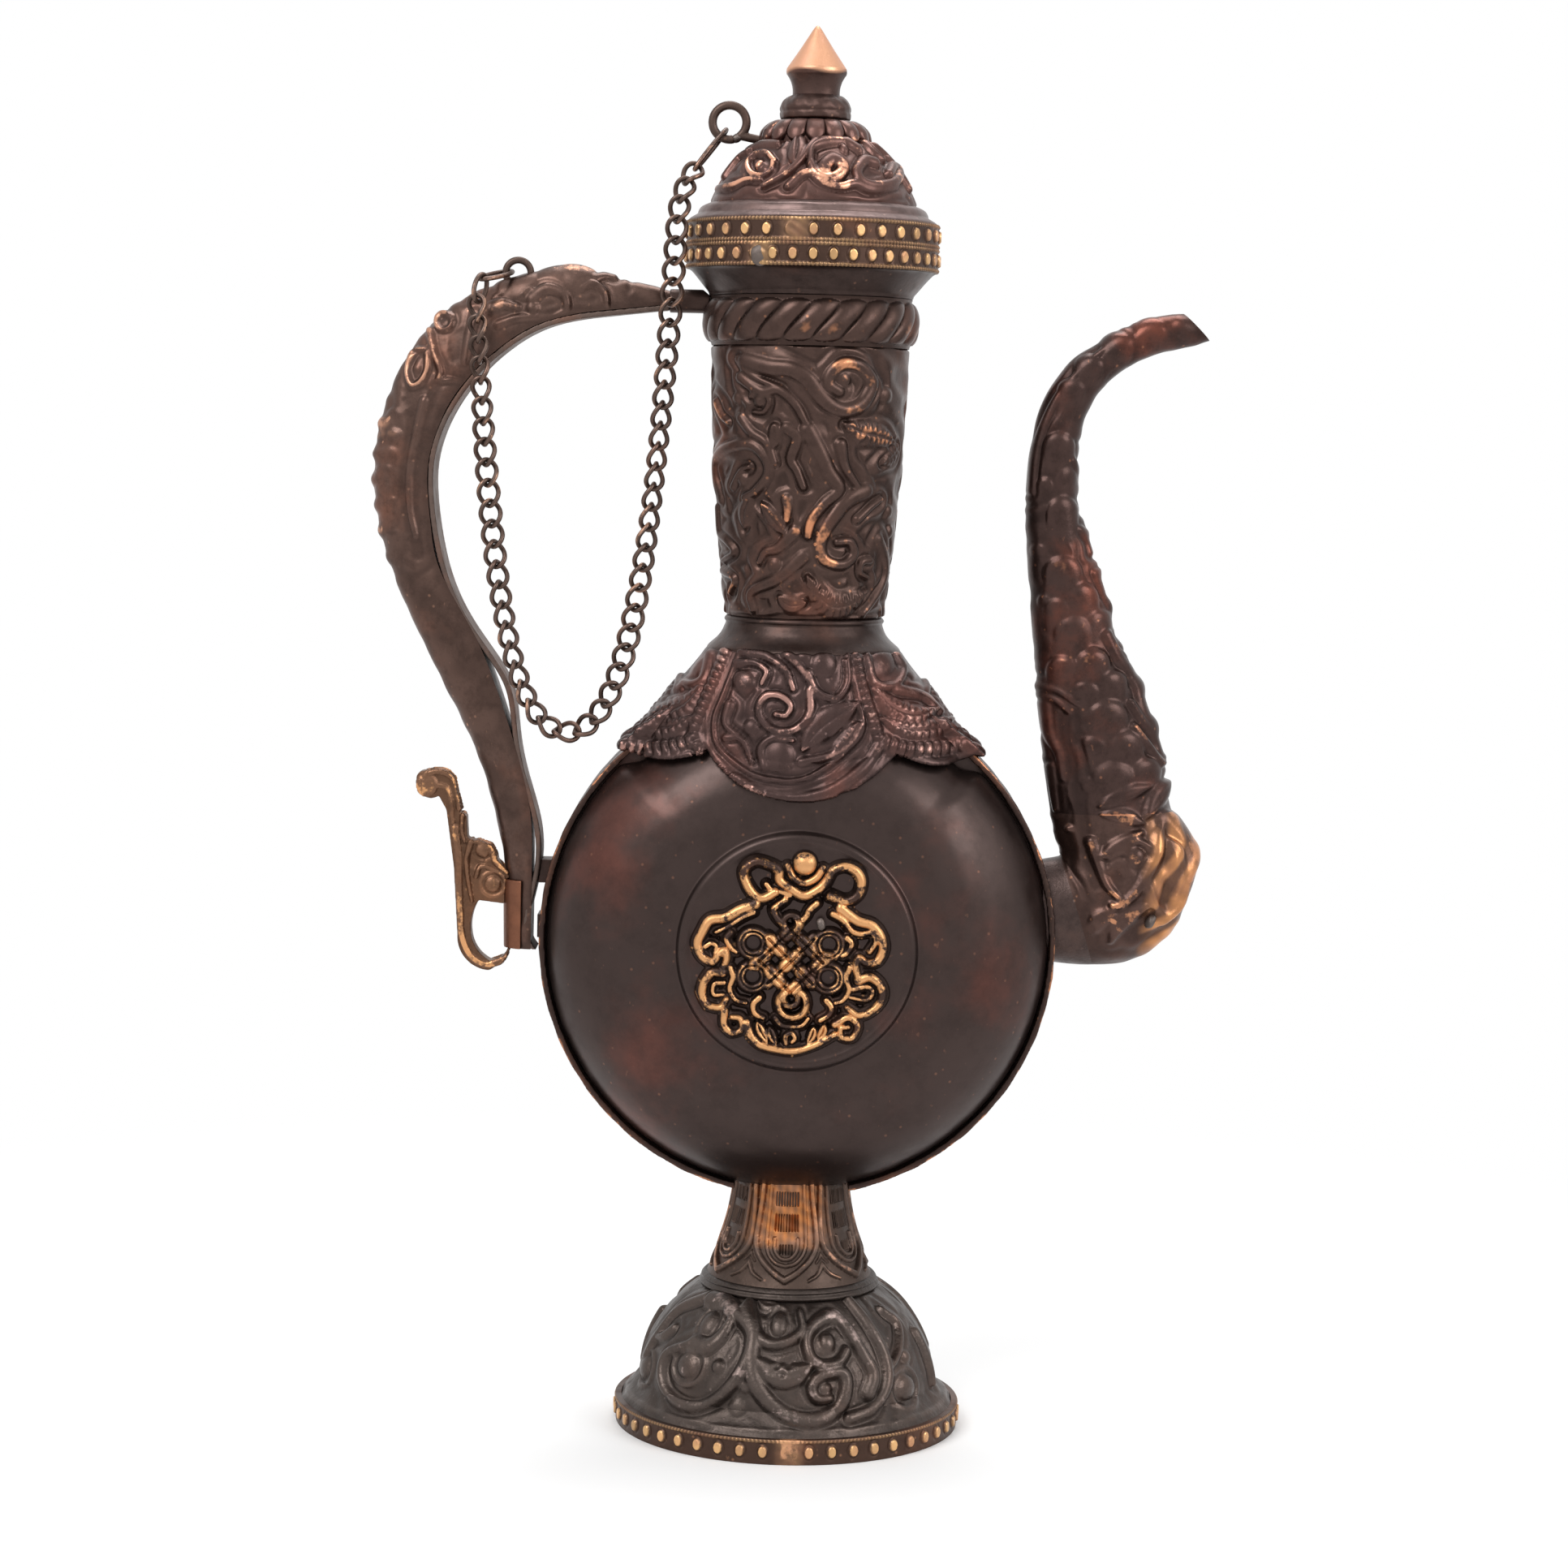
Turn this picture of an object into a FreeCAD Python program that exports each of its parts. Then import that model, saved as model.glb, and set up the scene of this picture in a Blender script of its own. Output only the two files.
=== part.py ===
import FreeCAD, Part
import math
import os

# A dark patinated copper and brass ewer: moon shaped body, lotus foot, tall neck, lift-off lid on a
# chain, dragon handle and makara spout. Millimetres, +Z up, spout towards +X, medallion side towards -Y.
# The origin is on the vertical axis of the body, at the plane the foot stands on.

Vector = FreeCAD.Vector
ORIGIN = Vector(0, 0, 0)
UP = Vector(0, 0, 1)
ACROSS = Vector(0, 1, 0)
FULL_TURN = 360.0
HALF_TURN = 180.0
QUARTER_TURN = 90.0

# Fits and clearances
fit_gap = 0.10            # running gap of the lid's inner collar and at the parting line
seat_gap = 0.05           # gap of pieces that are only set side by side
overrun = 3.0             # how far every cutting shape runs past what it cuts
sheet = 0.8               # raised copper sheet of the vessel
band_sheet = 0.7          # beaded brass strip

# Foot
foot_radius = 22.3
foot_band_height = 3.2
brim_edge_low = 2.2
brim_edge_high = 3.0
brim_top_radius = 19.2
brim_top_height = 5.8
dome_bulge_radius = 17.2
dome_bulge_height = 12.2
dome_top_radius = 11.4
dome_top_height = 18.1
foot_ring_height = 1.6
foot_ring_swell = 0.35
stem_foot_radius = 10.7
stem_waist_radius = 8.45
stem_waist_rise = 5.1
stem_top_radius = 7.1
leaf_count = 6
leaf_relief = 0.4
leaf_tip_rise = 0.7
leaf_foot_width = 8.2
leaf_head_width = 6.3
leaf_shoulder_rise = 4.6
leaf_round_share = 0.333

# Body
body_radius = 33.05
body_centre_height = 63.8
edge_band_width = 12.4
shell_radius = 30.4
shell_flange_inset = 2.0
shell_round_radius = 27.2
shell_round_depth = 11.2
shell_face_radius = 15.6
shell_face_depth = 14.6
shell_slope_share = 0.7
disc_radius = 14.9
disc_rise = 0.8
throat_radius = 8.0
throat_depth = 16.0

# Shoulder cover
cover_sheet = 0.9
cover_top_rise = 37.2
cover_top_radius = 12.5
cover_lobe_drop = 17.9
cover_cusp_drop = 12.1
cover_side_drop = 13.7
cover_edge_drop = 12.6
cover_lobe_half_width = 12.0
cover_side_middle = 17.0
cover_side_end = 22.0
# half width, half depth and fall of each section of the shoulder's slope, as shares of the top radius
cover_section_shares = (
    (1.00, 1.00, 0.00),
    (1.27, 1.07, 0.34),
    (1.55, 1.12, 0.67),
    (1.81, 1.15, 1.01),
    (2.04, 1.17, 1.28),
)

# Neck
collar_height = 4.3
collar_waist_radius = 10.4
collar_waist_rise = 2.1
neck_foot_radius = 9.9
neck_height = 34.2
neck_middle_radius = 11.4
neck_middle_rise = 15.2
neck_top_radius = 12.3
rope_height = 6.2
rope_radius = 13.5
rope_end_radius = 12.9
rope_relief = 0.45
rope_count = 22
rope_lean = 22.0
lobe_points = 4
# rise, lost part of the relief and depth of the lobes of each gadroon section
rope_section_shares = ((0.18, 1.0, 0.6), (0.50, 0.0, 1.0), (0.82, 1.0, 0.6))
mouth_height = 6.4
mouth_cove_radius = 13.9
mouth_cove_rise = 0.9
mouth_shelf_radius = 15.9
mouth_bore_radius = 13.0
mouth_bore_depth = 5.4

# Beaded bands
band_radius = 16.0
band_height = 2.9
bead_width = 1.2
bead_height = 1.5
bead_rise = 0.35
bead_flat_share = 0.6
bead_sides = 6
lid_bead_count = 34
mouth_bead_count = 40
foot_bead_count = 48
edge_rib_height = 0.4
edge_rib_rise = 0.2

# Lid
collar_skirt_depth = 5.0
collar_skirt_sheet = 0.8
skirt_rise = 2.3
skirt_round_radius = 14.6
skirt_round_rise = 1.3
lid_dome_radius = 13.0
lid_dome_rise = 7.3
lid_dome_bulge_radius = 11.0
lid_dome_bulge_rise = 3.8
lid_dome_top_radius = 7.6
petal_count = 16
petal_foot_radius = 6.9
petal_swell_radius = 6.8
petal_swell_share = 0.333
petal_shoulder_share = 0.8
petal_top_radius = 5.2
petal_height = 3.4
petal_relief = 0.45
finial_collar_radius = 4.5
finial_collar_height = 3.1
finial_collar_round = 0.45
finial_collar_fall = 0.68
finial_shank_radius = 1.2
finial_neck_radius = 3.0
finial_neck_rise = 1.0
finial_rim_radius = 3.8
finial_rim_rise = 2.6
finial_rim_height = 0.7
finial_point_radius = 0.35
finial_height = 8.75
finial_rivet_radius = 2.4
finial_rivet_height = 0.8
lid_loop_radius = 2.15
lid_loop_wire = 1.1
lid_loop_reach = 10.9
lid_loop_rise = 2.9
lid_loop_start = -50.0
lid_loop_end = 285.0

# Spout: every station is the crotch side point and the outer side point, with the depth across
spout_rise = 83.5
spout_depth = 12.4
spout_sheet = 0.9
spout_station_shares = (
    (-0.020, 0.158, -0.020, 0.000, 0.86),
    (0.008, 0.164, 0.064, -0.004, 0.92),
    (0.010, 0.170, 0.138, 0.014, 0.98),
    (0.008, 0.180, 0.196, 0.076, 1.00),
    (0.000, 0.196, 0.214, 0.168, 0.96),
    (-0.008, 0.234, 0.178, 0.238, 0.88),
    (-0.020, 0.308, 0.160, 0.312, 0.82),
    (-0.031, 0.408, 0.124, 0.412, 0.75),
    (-0.042, 0.508, 0.082, 0.512, 0.66),
    (-0.052, 0.608, 0.049, 0.611, 0.58),
    (-0.059, 0.704, 0.019, 0.708, 0.50),
    (-0.055, 0.782, 0.016, 0.776, 0.46),
    (-0.041, 0.850, 0.023, 0.828, 0.43),
    (-0.006, 0.913, 0.043, 0.876, 0.40),
    (0.050, 0.957, 0.082, 0.914, 0.37),
    (0.107, 0.986, 0.128, 0.938, 0.35),
    (0.172, 1.000, 0.213, 0.960, 0.32),
)
socket_station = 1
head_station = 5
spout_root_drop = 2.5
spout_bore_radius = 3.3

# Handle: inner side point, outer side point and depth, from the neck end to the foot of the grip
handle_spread = 87.1
handle_depth = 7.6
handle_sheet = 0.9
handle_strip = 0.7
handle_foot_drop = 2.2
handle_neck_rise = 5.5
handle_neck_share = 0.9575
handle_grip_share = 0.3795
half_oval_steps = 8
handle_station_shares = (
    (0.207, 0.943, 0.207, 0.972, 0.36),
    (0.270, 0.936, 0.280, 0.986, 0.50),
    (0.343, 0.926, 0.354, 1.000, 0.70),
    (0.401, 0.907, 0.425, 0.984, 0.86),
    (0.451, 0.873, 0.496, 0.960, 0.96),
    (0.491, 0.832, 0.560, 0.909, 1.00),
    (0.523, 0.783, 0.611, 0.822, 1.00),
    (0.545, 0.712, 0.635, 0.716, 0.97),
    (0.541, 0.631, 0.627, 0.619, 0.95),
    (0.525, 0.558, 0.596, 0.528, 0.92),
    (0.464, 0.446, 0.538, 0.409, 0.88),
    (0.417, 0.318, 0.482, 0.295, 0.82),
    (0.389, 0.207, 0.448, 0.194, 0.77),
    (0.385, 0.102, 0.432, 0.102, 0.74),
    (0.385, 0.000, 0.430, 0.000, 0.72),
)
tenon_radius = 1.5
lug_height = 3.0
lug_reach = 8.3
lug_depth = 4.0
lug_low_rise = 1.5
lug_high_rise = 8.6
ferrule_sheet = 0.5
ferrule_wrap = 1.9

# Tail scroll under the thumb, cast flat; points are shares of its height
scroll_height = 25.8
scroll_depth = 2.6
scroll_foot_drop = 3.1
scroll_root_share = 1.452
scroll_outline_shares = (
    (1.430, 0.121),
    (1.541, 0.000, 1.490, 0.035),
    (1.702, 0.179, 1.654, 0.052),
    (1.724, 0.520),
    (1.765, 0.806),
    (1.804, 0.875),
    (1.908, 0.935, 1.876, 0.870),
    (1.855, 0.991, 1.908, 0.985),
    (1.731, 0.957, 1.790, 1.000),
    (1.691, 0.783),
    (1.662, 0.780),
    (1.656, 0.667),
    (1.543, 0.628),
    (1.483, 0.521),
    (1.420, 0.473),
    (1.420, 0.334),
    (1.597, 0.354),
    (1.632, 0.190, 1.629, 0.273),
    (1.533, 0.049, 1.601, 0.106),
    (1.448, 0.121, 1.468, 0.080),
)

# Chain
chain_wire = 0.62
link_length = 3.9
link_width = 3.1
link_play = 0.08
link_twist = 45.0
link_sides = 6
link_bends = 10
facet_join_share = 0.01
chain_handle_shift = -3.163
chain_handle_drop = 3.488
chain_lid_shift = -5.091
chain_sag_low = 0.5
chain_sag_high = 20.0
sag_trials = 40
chain_stand_off = 6.2
chain_roll = 45.0
chain_roll_links = 36.6
joint_trials = 12
upper_link_share = 0.75
upper_link_rise = 1.6
handle_leg_links = 15
bow_links = 12
lid_leg_links = 22
lid_leg_bent_links = 3
long_link_width = 3.2
staple_play = 0.3
eye_play = 0.5
lid_hook_angle = 240.0
handle_hook_angle = 180.0
handle_loop_radius = 1.6
handle_loop_wire = 0.9
handle_loop_lean = -0.38
staple_station = 3
staple_start = -60.0
staple_end = 240.0

# Medallion: places are shares of half its height, from its middle to the right and up
medallion_height = 25.6
medallion_shift = -0.8
medallion_field = 0.6
medallion_relief = 1.4
medallion_over = 1.9
scroll_strip = 0.95
knot_strip = 1.5
knot_spacing = 2.76
knot_long_share = 1.5
knot_cross_share = 0.85
mitre_limit_share = 0.5
loop_strip = 1.0
eye_radius = 0.85
eye_loop_bends = 6
eye_loop_start = 45.0
eye_places_share = ((0.35, 0.125), (0.35, -0.19), (0.0, 0.42), (0.0, -0.32))
ribbon_eye_share = (0.39, 0.72)
ribbon_eye_radius = 1.15
jewel_share = (0.0, 0.88)
jewel_radius = 1.3
jewel_cup_radius = 2.1
boss_share = (0.0, -0.52)
boss_radius = 2.2
boss_dimple_radius = 1.2
field_half_shares = (
    (0.00, 1.00), (0.19, 0.86), (0.30, 0.84), (0.46, 0.92), (0.62, 0.76), (0.55, 0.56), (0.70, 0.40),
    (0.90, 0.20), (0.90, -0.08), (0.73, -0.18), (0.91, -0.30), (0.86, -0.52), (0.70, -0.64),
    (0.66, -0.82), (0.42, -0.88), (0.10, -1.00), (0.00, -1.00),
)
scroll_half_shares = (
    ((0.56, 0.72), (0.41, 0.86), (0.26, 0.78), (0.14, 0.64), (0.00, 0.59)),
    ((0.36, 0.47), (0.56, 0.40), (0.62, 0.30), (0.80, 0.28), (0.87, 0.06), (0.76, -0.07), (0.65, 0.00)),
    ((0.67, -0.19), (0.82, -0.27), (0.84, -0.42), (0.70, -0.55), (0.62, -0.46)),
    ((0.60, -0.60), (0.64, -0.74), (0.54, -0.80), (0.48, -0.70)),
    ((0.40, -0.70), (0.34, -0.84), (0.18, -0.93), (0.00, -0.95)),
)

# Levels that follow from the sizes above
foot_ring_top = dome_top_height + foot_ring_height
cover_top = body_centre_height + cover_top_rise
neck_foot = cover_top + collar_height
neck_top = neck_foot + neck_height
rope_top = neck_top + rope_height
mouth_top = rope_top + mouth_height
lid_base = mouth_top + fit_gap
lid_band_top = lid_base + band_height
skirt_top = lid_band_top + skirt_rise
dome_crown = skirt_top + lid_dome_rise
petal_top = dome_crown + petal_height
finial_base = petal_top + finial_collar_height
overall_height = finial_base + finial_height
spout_root_height = body_centre_height - spout_root_drop
handle_foot_height = body_centre_height - handle_foot_drop
handle_height = (neck_top + handle_neck_rise - handle_foot_height) / handle_neck_share
scroll_foot_height = handle_foot_height - scroll_foot_drop
half_edge = edge_band_width / 2
stem_top = body_centre_height - body_radius + half_edge
band_inner_radius = band_radius - band_sheet
body_centre = Vector(0, 0, body_centre_height)


# Shapes from outlines

def outline_edges(points, place):
    """Closed run of edges; a point of four numbers is reached by an arc through its second pair."""
    edges = []
    last = place(*points[0][:2])
    for point in tuple(points[1:]) + (points[0][:2],):
        end = place(*point[:2])
        if len(point) == 4:
            edges.append(Part.Arc(last, place(*point[2:]), end).toShape())
        elif (end - last).Length > 0:
            edges.append(Part.LineSegment(last, end).toShape())
        last = end
    return edges


def outline_face(points, place):
    return Part.Face(Part.Wire(outline_edges(points, place)))


def turned(points):
    """Solid turned about the vertical axis from an outline of radius and height."""
    face = outline_face(points, lambda radius, height: Vector(radius, 0, height))
    return face.revolve(ORIGIN, UP, FULL_TURN)


def turned_across(points):
    """Solid turned about the body's horizontal axis from an outline of radius and depth."""
    face = outline_face(points, lambda radius, depth: Vector(radius, -depth, body_centre_height))
    return face.revolve(body_centre, ACROSS, FULL_TURN)


def cylinder(radius, low, high, inner=0.0):
    points = ((inner, low), (radius, low), (radius, high), (inner, high))
    return turned(points)


def slab(points, near, far):
    """Outline of x and height, pushed through from depth near to depth far."""
    face = outline_face(points, lambda x, height: Vector(x, near, height))
    return face.extrude(Vector(0, far - near, 0))


def mirrored_back(shape):
    return shape.mirror(ORIGIN, ACROSS)


def around(shape, count):
    """The shape and its copies at even angles about the vertical axis."""
    return [shape.rotated(ORIGIN, UP, FULL_TURN * index / count) for index in range(count)]


def pushed_loft(wires, ruled=False):
    loft = Part.makeLoft(wires, True, ruled)
    if loft.Volume < 0:
        loft.reverse()
    return loft


def single(shape):
    """The one solid of a result, without a compound round it."""
    return shape.Solids[0] if len(shape.Solids) == 1 else shape


def lobed_wire(radius, relief, height, count, turn):
    """Closed polygon with even lobes."""
    corners = []
    steps = count * lobe_points
    for index in range(steps):
        angle = 2 * math.pi * index / steps
        swell = radius + relief * math.cos(2 * math.pi * index / lobe_points)
        spin = angle + math.radians(turn)
        corners.append(Vector(swell * math.cos(spin), swell * math.sin(spin), height))
    return Part.makePolygon(corners + corners[:1])


# Beaded bands

def bead(radius, height):
    """One flat topped bead that stands out of a band at the given radius."""
    wires = []
    for grow, reach in ((1.0, -band_sheet / 2), (1.0, 0.0), (bead_flat_share, bead_rise)):
        half_width, half_height = bead_width * grow / 2, bead_height * grow / 2
        corners = []
        for side in range(bead_sides):
            angle = math.radians(FULL_TURN * (side + 0.5) / bead_sides)
            corners.append(Vector(half_width * math.cos(angle), -radius - reach,
                                  height + half_height * math.sin(angle)))
        wires.append(Part.makePolygon(corners + corners[:1]))
    return pushed_loft(wires, True)


def beaded_band(radius, low, height, count):
    """Strip with a rib along each edge and a row of beads."""
    inner, high = radius - band_sheet, low + height
    rib = radius + edge_rib_rise
    points = ((inner, low), (rib, low), (rib, low + edge_rib_height), (radius, low + edge_rib_height),
              (radius, high - edge_rib_height), (rib, high - edge_rib_height), (rib, high), (inner, high))
    beads = around(bead(radius, low + height / 2), count)
    return single(turned(points).fuse(beads))


# Foot

def foot_pieces():
    dome = turned((
        (foot_radius - band_sheet, brim_edge_low),
        (foot_radius - band_sheet, brim_edge_high),
        (brim_top_radius, brim_top_height),
        (dome_top_radius, dome_top_height, dome_bulge_radius, dome_bulge_height),
        (dome_top_radius - sheet, dome_top_height),
        (brim_top_radius - sheet, brim_top_height - sheet / 2,
         dome_bulge_radius - sheet, dome_bulge_height - sheet / 2),
        (foot_radius - band_sheet - sheet, brim_edge_low),
    ))
    ring_swell = dome_top_radius + foot_ring_swell
    ring_inner = stem_foot_radius - sheet
    ring_middle = dome_top_height + foot_ring_height / 2
    ring = turned((
        (ring_inner, dome_top_height), (dome_top_radius, dome_top_height),
        (dome_top_radius, foot_ring_top, ring_swell, ring_middle), (ring_inner, foot_ring_top),
    ))
    return {
        "foot_rim_band": beaded_band(foot_radius, 0, foot_band_height, foot_bead_count),
        "foot_dome": dome,
        "foot_ring": ring,
        "foot_stem": foot_stem(),
    }


def stem_side(grow, top):
    """Flared side of the stem, grown outwards, from its foot up to a level inside the body."""
    return (
        (stem_foot_radius + grow, foot_ring_top),
        (stem_top_radius + grow, top,
         stem_waist_radius + grow, foot_ring_top + stem_waist_rise),
    )


def foot_stem():
    """Flared tube scribed to the round body, with a ring of lotus leaves raised on it."""
    top = stem_top
    side = stem_side(0, top)
    skin = turned(side + ((0, top), (0, foot_ring_top)))
    tip = foot_ring_top + leaf_tip_rise
    shoulder = tip + leaf_shoulder_rise
    leaf_round = leaf_foot_width * leaf_round_share
    leaf_outline = (
        (0, tip),
        (leaf_foot_width / 2, shoulder, leaf_round, tip + leaf_shoulder_rise * leaf_round_share),
        (leaf_head_width / 2, top), (-leaf_head_width / 2, top),
        (-leaf_foot_width / 2, shoulder),
        (0, tip, -leaf_round, tip + leaf_shoulder_rise * leaf_round_share),
    )
    swollen = turned(stem_side(leaf_relief, top) + ((0, top), (0, foot_ring_top)))
    leaf = slab(leaf_outline, 0, -stem_foot_radius - overrun).common(swollen)
    stem = skin.fuse(around(leaf, leaf_count))
    bore = turned(stem_side(-sheet, top) + ((0, top), (0, foot_ring_top)))
    return single(stem.cut(bore).cut(body_without_band()))


# Body

def shell_side(grow):
    """Rounded side of the shell from its outer edge to the foot of the raised disc."""
    slope = grow * shell_slope_share
    return (
        (shell_radius + grow, half_edge),
        (shell_face_radius + grow / 2, shell_face_depth + grow,
         shell_round_radius + slope, shell_round_depth + slope),
    )


def body_envelope():
    """Everything inside the outer faces of the body, both shells and the edge band together."""
    face = shell_face_depth + disc_rise
    front = ((body_radius, 0), (body_radius, half_edge)) + shell_side(0)
    front += ((disc_radius, face), (0, face), (0, 0))
    half = turned_across(front)
    return half.fuse(mirrored_back(half)).removeSplitter()


def body_without_band():
    """The body's outer form where the edge band is left open."""
    flange_face = half_edge - shell_flange_inset
    face = shell_face_depth + disc_rise
    rim = body_radius - sheet
    front = ((rim, 0), (rim, flange_face), (shell_radius, flange_face)) + shell_side(0)
    half = turned_across(front + ((disc_radius, face), (0, face), (0, 0)))
    return half.fuse(mirrored_back(half)).removeSplitter()


def throat():
    """Way from the neck down into the body."""
    return cylinder(throat_radius, body_centre_height + body_radius - throat_depth, cover_top + overrun)


def body_front_shell():
    flange_face = half_edge - shell_flange_inset
    band_inner = body_radius - sheet
    face = shell_face_depth + disc_rise
    side, inner_side = shell_side(0), shell_side(-sheet)
    points = ((band_inner, flange_face - sheet), (band_inner, flange_face), (shell_radius, flange_face))
    points += side + ((disc_radius, face), (0, face), (0, face - sheet))
    points += ((disc_radius - sheet, face - sheet), inner_side[1][:2])
    points += (inner_side[0] + inner_side[1][2:],)
    points += ((shell_radius - sheet, flange_face - sheet),)
    return single(turned_across(points).cut(throat()))


def body_rim_wall():
    """Plain strip between the flanges of the two shells, which closes the vessel all round."""
    outer, inner = body_radius - sheet, body_radius - 2 * sheet
    half_wall = half_edge - shell_flange_inset - sheet
    wall = turned_across(((inner, -half_wall), (outer, -half_wall), (outer, half_wall), (inner, half_wall)))
    return single(wall.cut(throat()).cut(spout_bore()))


def edge_bands():
    """Outer rim strips that lie over both shells; they stop at the stem and under the neck."""
    band = turned_across((
        (body_radius - sheet, -half_edge), (body_radius, -half_edge),
        (body_radius, half_edge), (body_radius - sheet, half_edge),
    ))
    grow = leaf_relief + seat_gap
    foot_gap = turned(((0, 0), (stem_foot_radius + grow, 0)) + stem_side(grow, stem_top) + ((0, stem_top),))
    sides = band.cut(foot_gap).cut(throat()).cut(spout_bore()).Solids
    sides.sort(key=lambda side: side.CenterOfMass.x)
    return {"edge_band_handle_side": sides[0], "edge_band_spout_side": sides[1]}


def shoulder_cover():
    """Lobed collar of repousse sheet, laid over the slope between neck and body."""
    rim = body_radius + cover_sheet
    skin = shell_side(cover_sheet)
    front = ((rim, 0), (rim, half_edge + cover_sheet),
             (skin[0][0], half_edge + cover_sheet), skin[1])
    half = turned_across(front + ((0, shell_face_depth + cover_sheet), (0, 0)))
    draped = half.fuse(mirrored_back(half))
    slope = pushed_loft([slope_wire(section, 0) for section in cover_section_shares])
    hollow = pushed_loft([slope_wire(section, cover_sheet) for section in cover_section_shares])
    top = cover_top
    edge = body_radius + overrun
    lobes = (
        (-edge, top - cover_edge_drop), (-cover_side_end, top - cover_edge_drop),
        (-cover_lobe_half_width, top - cover_cusp_drop, -cover_side_middle, top - cover_side_drop),
        (cover_lobe_half_width, top - cover_cusp_drop, 0, top - cover_lobe_drop),
        (cover_side_end, top - cover_edge_drop, cover_side_middle, top - cover_side_drop),
        (edge, top - cover_edge_drop), (edge, top), (-edge, top),
    )
    prism = slab(lobes, -edge, edge)
    cover = slope.fuse(draped).common(prism).cut(hollow)
    return single(cover.cut(body_envelope()))


def slope_wire(section, inset):
    wide, deep, fall = section
    centre = Vector(0, 0, cover_top - fall * cover_top_radius)
    major, minor = wide * cover_top_radius - inset, deep * cover_top_radius - inset
    if major > minor:
        return Part.Wire(Part.Ellipse(centre + Vector(major, 0, 0), centre + Vector(0, minor, 0),
                                      centre).toShape())
    return Part.Wire(Part.Circle(centre, UP, major).toShape())


# Neck

def neck_core():
    """Outer form of the tube between its base collar and the rope band."""
    return turned((
        (0, neck_foot), (neck_foot_radius, neck_foot),
        (neck_top_radius, neck_top, neck_middle_radius, neck_foot + neck_middle_rise), (0, neck_top),
    ))


def neck_pieces():
    collar = turned((
        (throat_radius, cover_top), (cover_top_radius, cover_top),
        (neck_foot_radius, neck_foot, collar_waist_radius, cover_top + collar_waist_rise),
        (throat_radius, neck_foot),
    ))
    tube = turned((
        (neck_foot_radius - sheet, neck_foot), (neck_foot_radius, neck_foot),
        (neck_top_radius, neck_top, neck_middle_radius, neck_foot + neck_middle_rise),
        (neck_top_radius - sheet, neck_top),
        (neck_foot_radius - sheet, neck_foot, neck_middle_radius - sheet, neck_foot + neck_middle_rise),
    ))
    return {"neck_base_collar": collar, "neck_tube": tube, "neck_rope_band": rope_band(),
            "mouth_collar": mouth_collar(),
            "mouth_band": beaded_band(band_radius, mouth_top - band_height, band_height, mouth_bead_count)}


def rope_wire(rise, radius, lobe):
    return lobed_wire(radius, rope_relief * lobe, neck_top + rise * rope_height, rope_count,
                      rope_lean * rise)


def rope_body():
    """Ring of slanting gadroons: each section is turned a little further than the one below."""
    wires = [rope_wire(0, rope_end_radius, 0)]
    for rise, lost, lobe in rope_section_shares:
        wires.append(rope_wire(rise, rope_radius - rope_relief * lost, lobe))
    wires.append(rope_wire(1, rope_end_radius, 0))
    return pushed_loft(wires, True)


def rope_band():
    bore = cylinder(neck_top_radius - sheet, neck_top - overrun, rope_top + overrun)
    return single(rope_body().cut(bore))


def mouth_core():
    """Outer form of the mouth collar, from the rope band up to the parting line."""
    return turned((
        (0, rope_top), (rope_end_radius, rope_top),
        (mouth_shelf_radius, mouth_top - band_height, mouth_cove_radius, rope_top + mouth_cove_rise),
        (band_inner_radius, mouth_top - band_height), (band_inner_radius, mouth_top), (0, mouth_top),
    ))


def mouth_collar():
    bore = turned((
        (0, rope_top - overrun), (neck_top_radius - sheet, rope_top - overrun),
        (neck_top_radius - sheet, rope_top), (mouth_bore_radius, mouth_top - mouth_bore_depth),
        (mouth_bore_radius, mouth_top + overrun), (0, mouth_top + overrun),
    ))
    return single(mouth_core().cut(bore))


# Lid

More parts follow.
